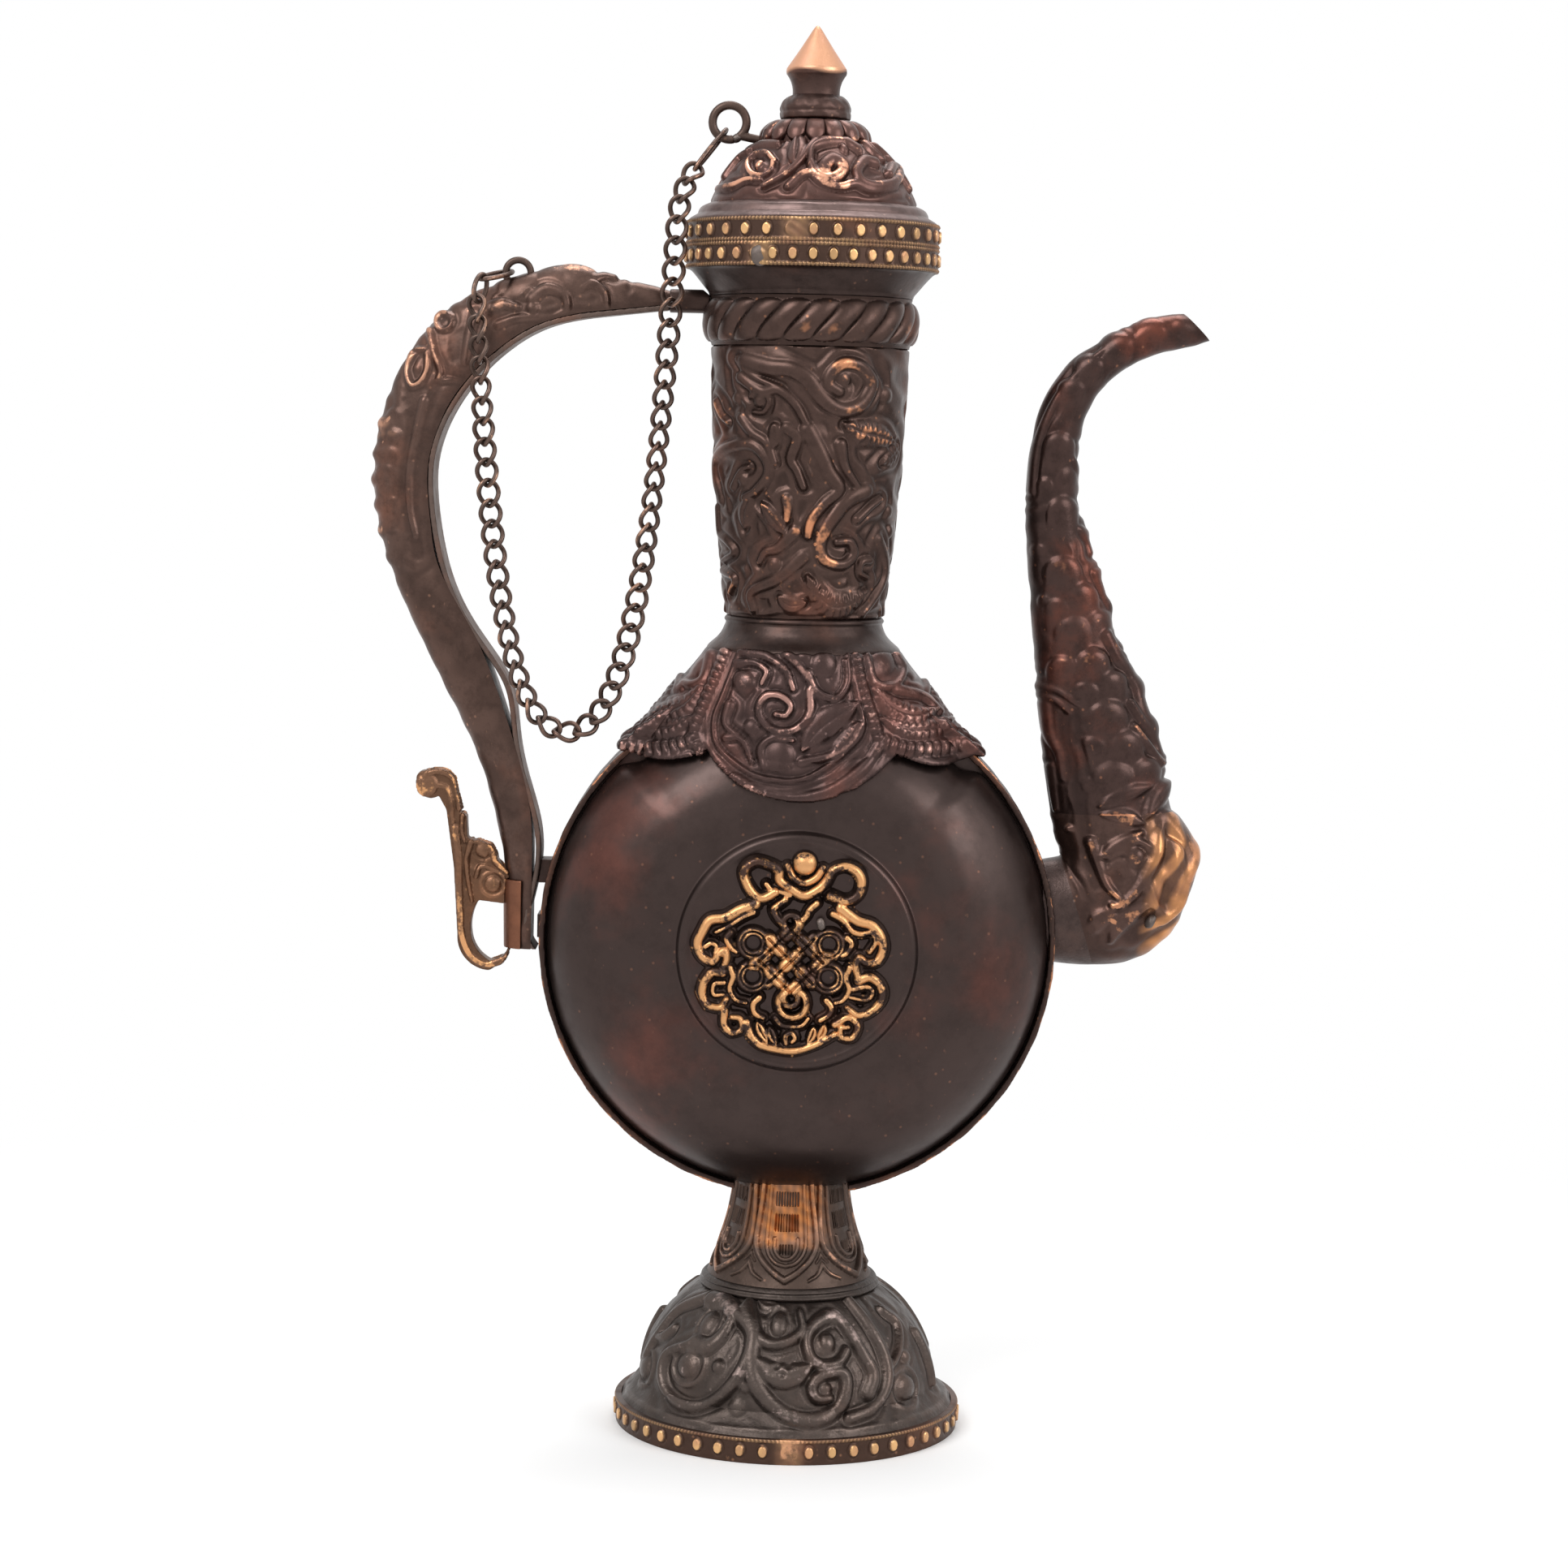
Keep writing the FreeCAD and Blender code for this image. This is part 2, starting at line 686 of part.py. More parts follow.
def lid_pieces():
    collar_radius = mouth_bore_radius - fit_gap
    lip_inner = collar_radius - collar_skirt_sheet
    inner_collar = cylinder(collar_radius, lid_base - collar_skirt_depth, lid_band_top, lip_inner)
    skirt = turned((
        (collar_radius, lid_base), (band_inner_radius, lid_base), (band_inner_radius, lid_band_top),
        (lid_dome_radius, skirt_top, skirt_round_radius, lid_band_top + skirt_round_rise),
        (lid_dome_radius - sheet, skirt_top), (lip_inner, lid_band_top), (collar_radius, lid_band_top),
    ))
    shank = finial_shank_radius + seat_gap
    dome = turned((
        (lid_dome_radius - sheet, skirt_top), (lid_dome_radius, skirt_top),
        (lid_dome_top_radius, dome_crown, lid_dome_bulge_radius, skirt_top + lid_dome_bulge_rise),
        (shank, dome_crown), (shank, dome_crown - sheet),
        (lid_dome_top_radius - sheet / 2, dome_crown - sheet),
        (lid_dome_radius - sheet, skirt_top,
         lid_dome_bulge_radius - sheet, skirt_top + lid_dome_bulge_rise - sheet / 2),
    ))
    petals = pushed_loft([
        lobed_wire(petal_foot_radius - petal_relief, petal_relief, dome_crown, petal_count, 0),
        lobed_wire(petal_swell_radius - petal_relief, petal_relief,
                   dome_crown + petal_height * petal_swell_share, petal_count, 0),
        lobed_wire((petal_swell_radius + petal_top_radius) / 2, petal_relief / 2,
                   dome_crown + petal_height * petal_shoulder_share, petal_count, 0),
        lobed_wire(petal_top_radius, 0, petal_top, petal_count, 0),
    ], True).cut(cylinder(shank, dome_crown - overrun, petal_top + overrun))
    finial_collar = turned((
        (shank, petal_top), (finial_collar_radius, petal_top),
        (finial_collar_radius, petal_top + finial_collar_height / 2),
        (finial_neck_radius, finial_base, finial_collar_radius - finial_collar_round,
         finial_base - finial_collar_fall),
        (shank, finial_base),
    ))
    rim = finial_base + finial_rim_rise
    finial = turned((
        (0, dome_crown - sheet - finial_rivet_height), (finial_shank_radius,
                                                        dome_crown - sheet - finial_rivet_height),
        (finial_shank_radius, finial_base), (finial_neck_radius, finial_base),
        (finial_rim_radius, rim, finial_neck_radius + seat_gap, finial_base + finial_neck_rise),
        (finial_rim_radius, rim + finial_rim_height),
        (finial_point_radius, overall_height - finial_point_radius),
        (0, overall_height),
    ))
    rivet = cylinder(finial_rivet_radius, dome_crown - sheet - finial_rivet_height, dome_crown - sheet,
                     shank)
    loop = lid_loop(petals, dome)
    return {"lid_inner_collar": inner_collar, "lid_skirt": skirt, "lid_dome": dome,
            "lid_rim_band": beaded_band(band_radius, lid_base, band_height, lid_bead_count),
            "lid_petal_ring": single(petals), "finial_collar": finial_collar, "finial": finial,
            "finial_rivet": rivet, "lid_chain_loop": loop}


def ring_point(centre, radius, angle):
    turn = math.radians(angle)
    return centre + Vector(radius * math.cos(turn), 0, radius * math.sin(turn))


def wire_ring(centre, radius, wire, start, end):
    """Round wire bent to an arc in the plane of the handle, between two angles."""
    begin = ring_point(centre, radius, start)
    along = ring_point(centre, radius, start + QUARTER_TURN) - centre
    disc = Part.Face(Part.Wire(Part.Circle(begin, along, wire / 2).toShape()))
    return disc.revolve(centre, -ACROSS, end - start)


def straight_wire(start, end, wire):
    return Part.makeCylinder(wire / 2, (end - start).Length, start, end - start)


def lid_loop_centre():
    return Vector(-lid_loop_reach, 0, dome_crown + lid_loop_rise)


def lid_loop(petals, dome):
    """Eye of round wire, bent shut against the petal ring with its tail let into it."""
    centre = lid_loop_centre()
    ring = wire_ring(centre, lid_loop_radius, lid_loop_wire, lid_loop_start, lid_loop_end)
    begin = ring_point(centre, lid_loop_radius, lid_loop_start)
    tail = Vector(-petal_foot_radius + lid_loop_wire, 0, dome_crown + lid_loop_wire / 2)
    knuckle = Part.makeSphere(lid_loop_wire / 2, begin)
    loop = ring.fuse([straight_wire(begin, tail, lid_loop_wire), knuckle])
    return single(loop.cut(petals).cut(dome))


# Spout

def spout_point(x_share, rise_share):
    return Vector(body_radius + x_share * spout_rise, 0, spout_root_height + rise_share * spout_rise)


def spout_wire(station, inset):
    """Oval section between the crotch side and the outer side of a station."""
    crotch, outer = spout_point(*station[:2]), spout_point(*station[2:4])
    centre = (crotch + outer) / 2
    span = outer - centre
    long_half, deep_half = span.Length - inset, station[4] * spout_depth / 2 - inset
    along = span.normalize()
    if long_half > deep_half:
        oval = Part.Ellipse(centre + along * long_half, centre + ACROSS * deep_half, centre)
    else:
        oval = Part.Ellipse(centre + ACROSS * deep_half, centre + along * long_half, centre)
    return Part.Wire(oval.toShape())


def spout_length(first, last):
    """Hollow length of the spout between two stations."""
    stations = spout_station_shares[first:last + 1]
    outer = pushed_loft([spout_wire(station, 0) for station in stations])
    inner = pushed_loft([spout_wire(station, spout_sheet) for station in stations])
    return single(outer.cut(inner))


def spout_bore():
    """Round hole through the rim of the body, where the liquid runs into the spout."""
    crotch, outer = spout_point(*spout_station_shares[0][:2]), spout_point(*spout_station_shares[0][2:4])
    centre = (crotch + outer) / 2
    start = Vector(shell_radius - throat_radius, 0, centre.z)
    return Part.makeCylinder(spout_bore_radius, throat_radius + overrun * 2, start, Vector(1, 0, 0))


def spout_pieces():
    last = len(spout_station_shares) - 1
    socket = spout_length(0, socket_station).cut(body_envelope())
    return {"spout_socket": single(socket), "spout_head": spout_length(socket_station, head_station),
            "spout_tube": spout_length(head_station, last)}


# Handle

def handle_point(x_share, rise_share):
    """Point of the handle; it spreads out from the body's rim and rises to the neck."""
    reach = body_radius + (x_share - handle_grip_share) * handle_spread
    return Vector(-reach, 0, handle_foot_height + rise_share * handle_height)


def handle_frame(station):
    """Inner point, outward direction, thickness and half depth of a handle station."""
    inner, outer = handle_point(*station[:2]), handle_point(*station[2:4])
    span = outer - inner
    thickness = span.Length
    return inner, span.normalize(), thickness, station[4] * handle_depth / 2


def half_oval(station, inset):
    """Curve over the outer side of a handle station, from the front edge to the back edge."""
    inner, outward, thickness, half_depth = handle_frame(station)
    lift = handle_strip + seat_gap
    base = inner + outward * lift
    reach, side = thickness - lift - inset, half_depth - inset
    points = []
    for step in range(half_oval_steps + 1):
        turn = math.pi * step / half_oval_steps
        points.append(base + outward * (reach * math.sin(turn)) + ACROSS * (side * math.cos(turn)))
    curve = Part.BSplineCurve()
    curve.interpolate(points)
    return curve.toShape(), points[0], points[-1]


def handle_channel_wire(station):
    """U section of the raised sheet: outer half oval, lip, inner half oval, lip."""
    outer, outer_front, outer_back = half_oval(station, 0)
    inner, inner_front, inner_back = half_oval(station, handle_sheet)
    return Part.Wire([outer, Part.LineSegment(outer_back, inner_back).toShape(),
                      inner, Part.LineSegment(inner_front, outer_front).toShape()])


def handle_core_wire(station, grow):
    """Half oval of the handle closed by a straight line, grown outwards."""
    outer, front, back = half_oval(station, -grow)
    return Part.Wire([outer, Part.LineSegment(back, front).toShape()])


def handle_strip_wire(station):
    inner, outward, _, half_depth = handle_frame(station)
    corners = [inner + ACROSS * half_depth, inner - ACROSS * half_depth,
               inner - ACROSS * half_depth + outward * handle_strip,
               inner + ACROSS * half_depth + outward * handle_strip]
    return Part.makePolygon(corners + corners[:1])


def handle_tenon():
    """Round pin brazed between the handle's thin end and the neck."""
    inner, outward, thickness, _ = handle_frame(handle_station_shares[0])
    centre = inner + outward * (thickness / 2)
    pin = Part.makeCylinder(tenon_radius, -centre.x - neck_top_radius, centre, Vector(1, 0, 0))
    return single(pin.cut(rope_body()).cut(mouth_core()).cut(neck_core()))


def handle_lug(rise):
    """Small block between the grip and the rim of the body."""
    inner = handle_point(*handle_station_shares[-1][:2])
    return Part.makeBox(lug_reach, lug_depth, lug_height,
                        Vector(inner.x, -lug_depth / 2, handle_foot_height + rise))


def handle_ferrule(core):
    """Copper strap bent round the back of the grip's foot."""
    stations = handle_station_shares[-2:]
    strap = pushed_loft([handle_core_wire(station, ferrule_sheet) for station in stations])
    outer = handle_point(*handle_station_shares[-1][2:4])
    edge = outer.x + ferrule_wrap
    keep = Part.makeBox(handle_depth * 2, handle_depth * 2, handle_height,
                        Vector(edge - handle_depth * 2, -handle_depth, handle_foot_height))
    return single(strap.cut(core).common(keep))


def handle_pieces():
    strip = pushed_loft([handle_strip_wire(station) for station in handle_station_shares])
    shell = pushed_loft([handle_channel_wire(station) for station in handle_station_shares]).cut(strip)
    core = pushed_loft([handle_core_wire(station, 0) for station in handle_station_shares])
    envelope = body_envelope()
    ferrule = handle_ferrule(core)
    pieces = {"handle_shell": single(shell), "handle_inner_strip": single(strip.cut(envelope)),
              "handle_neck_tenon": handle_tenon(), "handle_ferrule": ferrule,
              "handle_tail_scroll": single(tail_scroll().cut(core).cut(ferrule)),
              "handle_chain_loop": single(handle_loop().cut(core))}
    for name, rise in (("handle_lower_lug", lug_low_rise), ("handle_upper_lug", lug_high_rise)):
        block = handle_lug(rise).cut(envelope).cut(strip).cut(core)
        pieces[name] = max(block.Solids, key=lambda solid: solid.CenterOfMass.x)
    return pieces


def tail_scroll():
    """Flat cast leaf with a ball at its tip and a finger loop under it."""
    grip = handle_point(*handle_station_shares[-1][2:4])

    def place(x_share, rise_share):
        return (grip.x - (x_share - scroll_root_share) * scroll_height,
                scroll_foot_height + rise_share * scroll_height)
    points = []
    for share in scroll_outline_shares:
        points.append(place(*share[:2]) + (place(*share[2:]) if len(share) == 4 else ()))
    return slab(points, -scroll_depth / 2, scroll_depth / 2)


def handle_loop_centre():
    crown = handle_point(*handle_station_shares[staple_station][2:4])
    return crown + Vector(handle_loop_lean, 0, handle_loop_radius / 2)


def handle_loop():
    """Wire staple on top of the handle, which the chain's first link goes through."""
    return wire_ring(handle_loop_centre(), handle_loop_radius, handle_loop_wire,
                     staple_start, staple_end)


# Medallion

def medallion_point(share, depth=0.0):
    """Place on the medallion, raised from the face of the body's disc."""
    half = medallion_height / 2
    face = shell_face_depth + disc_rise
    return Vector(medallion_shift + share[0] * half, -face - depth, body_centre_height + share[1] * half)


def flipped(share):
    return (-share[0],) + tuple(share[1:])


def standing(points, height):
    """Flat shape with the given corners on the disc's face, raised to a height."""
    face = Part.Face(Part.makePolygon(list(points) + [points[0]]))
    return face.extrude(Vector(0, -height, 0))


def peg(share, radius, height):
    return Part.makeCylinder(radius, height, medallion_point(share), -ACROSS)


def ribbon(points, width, height):
    """Raised strip of even width along a bent line, with mitred corners."""
    left, right = [], []
    for index, point in enumerate(points):
        before = points[max(index - 1, 0)]
        after = points[min(index + 1, len(points) - 1)]
        first = (point - before).normalize() if index else (after - point).normalize()
        second = (after - point).normalize() if index < len(points) - 1 else first
        along = (first + second).normalize()
        aside = along.cross(ACROSS) * (width / 2 / max(along.dot(first), mitre_limit_share))
        left.append(point + aside)
        right.append(point - aside)
    return standing(left + right[::-1], height)


def knot_bars():
    """Three bars each way, laid square to each other; every second crossing stands higher."""
    step = knot_spacing
    bars = []
    for slope in (1, -1):
        along = Vector(1, 0, -slope).normalize()
        aside = Vector(slope, 0, 1).normalize()
        for row in (-1, 0, 1):
            middle = medallion_point((0, 0)) + aside * (row * step)
            reach = along * (step * (knot_long_share if row == 0 else 1) + knot_strip / 2)
            bars.append(ribbon([middle - reach, middle + reach], knot_strip, medallion_relief))
            for column in (-1, 0, 1):
                if (row + column + (slope > 0)) % 2 == 0:
                    cross = middle + along * (column * step)
                    half = along * (knot_strip * knot_cross_share)
                    bars.append(ribbon([cross - half, cross + half], knot_strip, medallion_over))
    return bars


def eye_loop(share, start):
    """Half ring of strip round one of the knot's eyes."""
    centre = medallion_point(share)
    radius = eye_radius + loop_strip / 2
    points = []
    for index in range(eye_loop_bends + 1):
        turn = math.radians(start + HALF_TURN * index / eye_loop_bends)
        points.append(centre + Vector(math.cos(turn), 0, math.sin(turn)) * radius)
    return ribbon(points, loop_strip, medallion_relief)


def knot_medallion():
    """Openwork casting: endless knot in a frame of scrolls under a knotted ribbon and a jewel."""
    left_half = [flipped(share) for share in field_half_shares[-2:0:-1]]
    field = standing([medallion_point(share) for share in list(field_half_shares) + left_half],
                     medallion_field)
    raised = knot_bars()
    for mirror in (lambda share: share, flipped):
        for run in scroll_half_shares:
            raised.append(ribbon([medallion_point(mirror(share)) for share in run], scroll_strip,
                                 medallion_relief))
        raised.append(peg(mirror(ribbon_eye_share), ribbon_eye_radius + loop_strip, medallion_relief))
    upper, lower = eye_places_share[0], eye_places_share[1]
    first, last = eye_loop_start, HALF_TURN - eye_loop_start
    raised += [eye_loop(upper, -first), eye_loop(flipped(upper), first),
               eye_loop(lower, -last), eye_loop(flipped(lower), last)]
    raised += [peg(jewel_share, jewel_cup_radius, medallion_relief / 2 + medallion_field / 2),
               peg(jewel_share, jewel_radius, medallion_over), peg(boss_share, boss_radius, medallion_relief)]
    casting = field.fuse(raised).removeSplitter()
    holes = [peg(ribbon_eye_share, ribbon_eye_radius, overrun), peg(boss_share, boss_dimple_radius, overrun),
             peg(flipped(ribbon_eye_share), ribbon_eye_radius, overrun)]
    for share in eye_places_share:
        holes.append(peg(share, eye_radius, overrun))
        if share[0] != 0:
            holes.append(peg(flipped(share), eye_radius, overrun))
    return single(casting.cut(holes))


# Chain

def curb_link(length, width, twist):
    """One twisted oval link along X, its ends turned opposite ways; six sided wire."""
    half_length, half_width = (length - chain_wire) / 2, (width - chain_wire) / 2

    def centre(index):
        angle = 2 * math.pi * index / link_bends
        lean = math.radians(twist) * math.cos(angle)
        side = half_width * math.sin(angle)
        return Vector(half_length * math.cos(angle), side * math.cos(lean), side * math.sin(lean))

    rings = []
    for index in range(link_bends):
        here = centre(index)
        along = (centre(index + 1) - centre(index - 1)).normalize()
        outward = here - along * here.dot(along)
        outward = outward.normalize()
        sideways = along.cross(outward)
        ring = []
        for side in range(link_sides):
            angle = 2 * math.pi * side / link_sides
            ring.append(here + (outward * math.cos(angle) + sideways * math.sin(angle)) * (chain_wire / 2))
        rings.append(ring)
    points = [point for ring in rings for point in ring]
    facets = []
    for index in range(link_bends):
        other = (index + 1) % link_bends
        for side in range(link_sides):
            after = (side + 1) % link_sides
            a, b = index * link_sides + side, index * link_sides + after
            c, d = other * link_sides + after, other * link_sides + side
            facets.append((a, b, c))
            facets.append((a, c, d))
    shell = Part.Shape()
    shell.makeShapeFromMesh((points, facets), chain_wire * facet_join_share)
    solid = Part.Solid(shell.Shells[0])
    if solid.Volume < 0:
        solid.reverse()
    return solid


def chain_pitch():
    return link_length - 2 * chain_wire - link_play


def hanging_point(run, sag):
    """Point of the hanging curve at a length of chain from its lowest point."""
    return Vector(sag * math.asinh(run / sag), 0, math.hypot(sag, run) - sag)


def next_run(run, way, sag):
    """Length along the curve at which the next joint lies one pitch away in a straight line."""
    here = hanging_point(run, sag)
    step = chain_pitch()
    for _ in range(joint_trials):
        step += chain_pitch() - (hanging_point(run + way * step, sag) - here).Length
    return run + way * step


def chain_joints(sag):
    """Joint points of the hanging chain from the handle's side to the lid's side, lowest point at 0."""
    half = chain_pitch() / 2
    for _ in range(joint_trials):
        half += (chain_pitch() - (hanging_point(half, sag) - hanging_point(-half, sag)).Length) / 2
    bow_left = bow_links // 2 + 1
    left_count, right_count = handle_leg_links + bow_left, bow_links - bow_left - 1 + lid_leg_links
    left, right = [-half], [half]
    for _ in range(left_count):
        left.append(next_run(left[-1], -1, sag))
    for _ in range(right_count):
        right.append(next_run(right[-1], 1, sag))
    return [hanging_point(run, sag) for run in left[::-1] + right]


def hung_joints(start, end):
    """The joints hung so that the first is at the start and the last is above or below the end."""
    low, high = chain_sag_low, chain_sag_high
    for _ in range(sag_trials):
        sag = (low + high) / 2
        joints = chain_joints(sag)
        if (joints[-1] - joints[0]).x < end.x - start.x:
            low = sag
        else:
            high = sag
    shift = start - joints[0]
    return [joint + shift for joint in joints]


def placed_link(link, start, end, roll, facing=ACROSS):
    """The link moved so that its middle lies between two points, turned about its own length."""
    along = (end - start).normalize()
    level = facing - along * facing.dot(along)
    level = level.normalize()
    side = level.cross(along)
    turn = math.radians(roll)
    flat = side * math.cos(turn) + level * math.sin(turn)
    normal = along.cross(flat)
    middle = (start + end) / 2
    matrix = FreeCAD.Matrix(along.x, flat.x, normal.x, middle.x,
                            along.y, flat.y, normal.y, middle.y,
                            along.z, flat.z, normal.z, middle.z,
                            0, 0, 0, 1)
    return link.transformed(matrix, True)


def long_link(start, end, start_hook, end_hook, roll, facing):
    """Plain long link whose ends reach past two joint points by the given hooks."""
    along = (end - start).normalize()
    first, last = start - along * start_hook, end + along * end_hook
    link = curb_link((last - first).Length + chain_wire, long_link_width, 0.0)
    return placed_link(link, first, last, roll, facing)


def bent_end(joints, target):
    """Last links of the lid's leg, which leave the hanging curve and turn towards the lid's eye."""
    run = list(joints)
    for index in range(lid_leg_bent_links):
        share = (index + 1) / (lid_leg_bent_links + 1)
        along = (run[-1] - run[-2]).normalize()
        aim = (target - run[-1]).normalize()
        run.append(run[-1] + (along * (1 - share) + aim * share).normalize() * chain_pitch())
    return run


def link_hook():
    """How far a link reaches past the joint point it shares with the next."""
    return (link_length - chain_wire - chain_pitch()) / 2


def chain_pieces():
    lid_eye = ring_point(lid_loop_centre(), lid_loop_radius, lid_hook_angle)
    eye_wire_way = ring_point(ORIGIN, 1.0, lid_hook_angle + QUARTER_TURN)
    handle_eye = ring_point(handle_loop_centre(), handle_loop_radius, handle_hook_angle)
    start = handle_eye + Vector(chain_handle_shift, -chain_stand_off, -chain_handle_drop)
    end = lid_eye + Vector(chain_lid_shift, 0, 0)
    joints = bent_end(hung_joints(start, end), lid_eye)
    link = curb_link(link_length, link_width, link_twist)
    links = []
    for index in range(len(joints) - 1):
        roll = chain_roll * math.cos(2 * math.pi * index / chain_roll_links)
        links.append(placed_link(link, joints[index], joints[index + 1], roll))
    hook = link_hook()
    handle_hook = (handle_loop_wire + chain_wire) / 2 + staple_play
    lid_hook = (lid_loop_wire + chain_wire) / 2 + eye_play
    middle = handle_eye + (joints[0] - handle_eye) * upper_link_share + UP * upper_link_rise
    upper = [long_link(handle_eye, middle, handle_hook, hook + link_play, 0, UP),
             long_link(middle, joints[0], hook + link_play, hook, QUARTER_TURN, UP)]
    last = long_link(joints[-1], lid_eye, hook, lid_hook, 0, eye_wire_way)
    bow_start, bow_end = handle_leg_links, handle_leg_links + bow_links
    return {"chain_handle_leg": Part.makeCompound(upper + links[:bow_start]),
            "chain_bow": Part.makeCompound(links[bow_start:bow_end]),
            "chain_lid_leg": Part.makeCompound(links[bow_end:] + [last])}


# Write every piece

def all_pieces():
    pieces = {}
    pieces.update(foot_pieces())
    front_shell = body_front_shell()
    pieces["body_front_shell"] = front_shell
    pieces["body_back_shell"] = mirrored_back(front_shell)
    pieces["body_rim_wall"] = body_rim_wall()
    pieces.update(edge_bands())
    medallion = knot_medallion()
    pieces["front_medallion"] = medallion
    pieces["back_medallion"] = medallion.rotated(ORIGIN, UP, HALF_TURN)
    pieces["shoulder_cover"] = shoulder_cover()
    pieces.update(neck_pieces())
    pieces.update(lid_pieces())
    pieces.update(spout_pieces())
    pieces.update(handle_pieces())
    pieces.update(chain_pieces())
    return pieces


os.makedirs("parts", exist_ok=True)
for name, shape in all_pieces().items():
    solids = shape.Solids
    sound = all(solid.isValid() and solid.Volume > 0 for solid in solids)
    box = shape.BoundBox
    print(name, len(solids), "sound" if sound else "FAULTY",
          "x %.1f %.1f y %.1f %.1f z %.1f %.1f" % (box.XMin, box.XMax, box.YMin, box.YMax, box.ZMin, box.ZMax))
    shape.exportStep("parts/" + name + ".step")
print("overall height", round(overall_height, 2))
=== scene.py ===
import math

import bmesh
import bpy
import numpy as np
from mathutils import Matrix, Vector


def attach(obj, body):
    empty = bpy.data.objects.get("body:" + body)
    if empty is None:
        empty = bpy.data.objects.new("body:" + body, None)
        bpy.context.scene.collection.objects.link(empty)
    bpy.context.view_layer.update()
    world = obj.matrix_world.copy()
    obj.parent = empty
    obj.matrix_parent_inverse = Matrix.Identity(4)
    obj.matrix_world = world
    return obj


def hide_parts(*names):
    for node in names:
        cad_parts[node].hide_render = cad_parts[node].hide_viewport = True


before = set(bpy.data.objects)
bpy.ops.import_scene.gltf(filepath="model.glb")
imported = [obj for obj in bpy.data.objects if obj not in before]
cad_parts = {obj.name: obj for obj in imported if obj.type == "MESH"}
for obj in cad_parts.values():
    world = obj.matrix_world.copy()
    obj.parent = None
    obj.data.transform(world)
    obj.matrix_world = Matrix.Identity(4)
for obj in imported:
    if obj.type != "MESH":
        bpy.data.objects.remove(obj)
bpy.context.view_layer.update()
MM = 0.001
TURN = 2 * math.pi

# Sizes of the vessel in millimetres, as in its construction
SHEET, BAND_SHEET, RAISED_WALL = 0.8, 0.7, 0.9
BODY_CENTRE = 63.8
BODY_RADIUS = 33.05
DISC_FACE = 15.4
NECK_FOOT, NECK_TOP = 105.3, 139.5
ROPE_TOP, MOUTH_TOP = 145.7, 152.1
LID_BASE, LID_BAND_TOP, SKIRT_TOP = 152.2, 155.1, 157.4
DOME_CROWN, PETAL_TOP, FINIAL_BASE, TIP = 164.7, 168.1, 171.2, 179.95
BAND_RADIUS, BAND_HEIGHT = 16.0, 2.9
FOOT_RADIUS, FOOT_BAND_HEIGHT = 22.3, 3.2
FOOT_DOME_TOP, FOOT_RING_TOP, STEM_TOP = 18.1, 19.7, 36.95


# Where the photograph shows things

VIEW_PLACE = (-2.1, -467.0, 129.0)
VIEW_TILT = math.radians(84.434)
VIEW_ROLL = math.radians(1.30)
VIEW_FOCUS = 4480.0
VIEW_MIDDLE = 966.0
SENSOR = 36.0
PICTURE = 1932.0

# Parts of the photograph that the ornament was drawn over: left, top and how many times enlarged
LID_DRAWING = (820.0, 20.0, 3.563)
NECK_DRAWING = (820.0, 440.0, 4.0)
COVER_DRAWING = (700.0, 760.0, 2.613)
STEM_DRAWING = (760.0, 1420.0, 3.5)
HANDLE_DRAWING = (440.0, 300.0, 3.0)
SPOUT_DRAWING = (1230.0, 780.0, 3.0)
TIP_DRAWING = (1230.0, 360.0, 2.6)
SCROLL_DRAWING = (490.0, 880.0, 3.0)

# The front medallion was drawn on a picture of its own: its middle, and drawing units in a millimetre
DISC_DRAWING = (775.0, 790.0, 53.4)
COVER_MIRROR = 1415.0

# A drawn point reaches its place on a turned piece in rounds that start near the neck's foot
PLACING_ROUNDS = 5
START_HEIGHT, START_SHARE, EDGE_SHARE = 100.0, 0.9, 0.97


def seen(points, depth, drawing):
    """Points of a drawing over the photograph, as x and height on an upright plane at a depth."""
    left, top, scale = drawing
    turn = Matrix.Rotation(VIEW_TILT, 3, "X") @ Matrix.Rotation(VIEW_ROLL, 3, "Z")
    placed = []
    for across, down in points:
        ray = turn @ Vector((left + across / scale - VIEW_MIDDLE,
                             VIEW_MIDDLE - top - down / scale, -VIEW_FOCUS))
        reach = (depth - VIEW_PLACE[1]) / ray.y
        placed.append((VIEW_PLACE[0] + ray.x * reach, VIEW_PLACE[2] + ray.z * reach))
    return placed


def seen_round(points, drawing, radius_at):
    """The same on a turned surface: angle from the front to the right, and height."""
    placed = []
    for point in points:
        depth = -radius_at(START_HEIGHT) * START_SHARE
        for _ in range(PLACING_ROUNDS):
            x, height = seen([point], depth, drawing)[0]
            radius = radius_at(height)
            angle = math.asin(max(-EDGE_SHARE, min(EDGE_SHARE, x / radius)))
            depth = -radius * math.cos(angle)
        placed.append((angle, height))
    return placed


# Lines and profiles

def rounded(points, steps=6):
    """Smooth line through points of any number of values."""
    points = np.asarray(points, float)
    if len(points) < 3:
        return points
    padded = np.vstack([2 * points[0] - points[1], points, 2 * points[-1] - points[-2]])
    rows = []
    for index in range(len(points) - 1):
        a, b, c, d = padded[index:index + 4]
        for step in range(steps):
            t = step / steps
            rows.append(0.5 * (2 * b + (c - a) * t + (2 * a - 5 * b + 4 * c - d) * t * t
                               + (3 * b - a - 3 * c + d) * t ** 3))
    rows.append(points[-1])
    return np.array(rows)


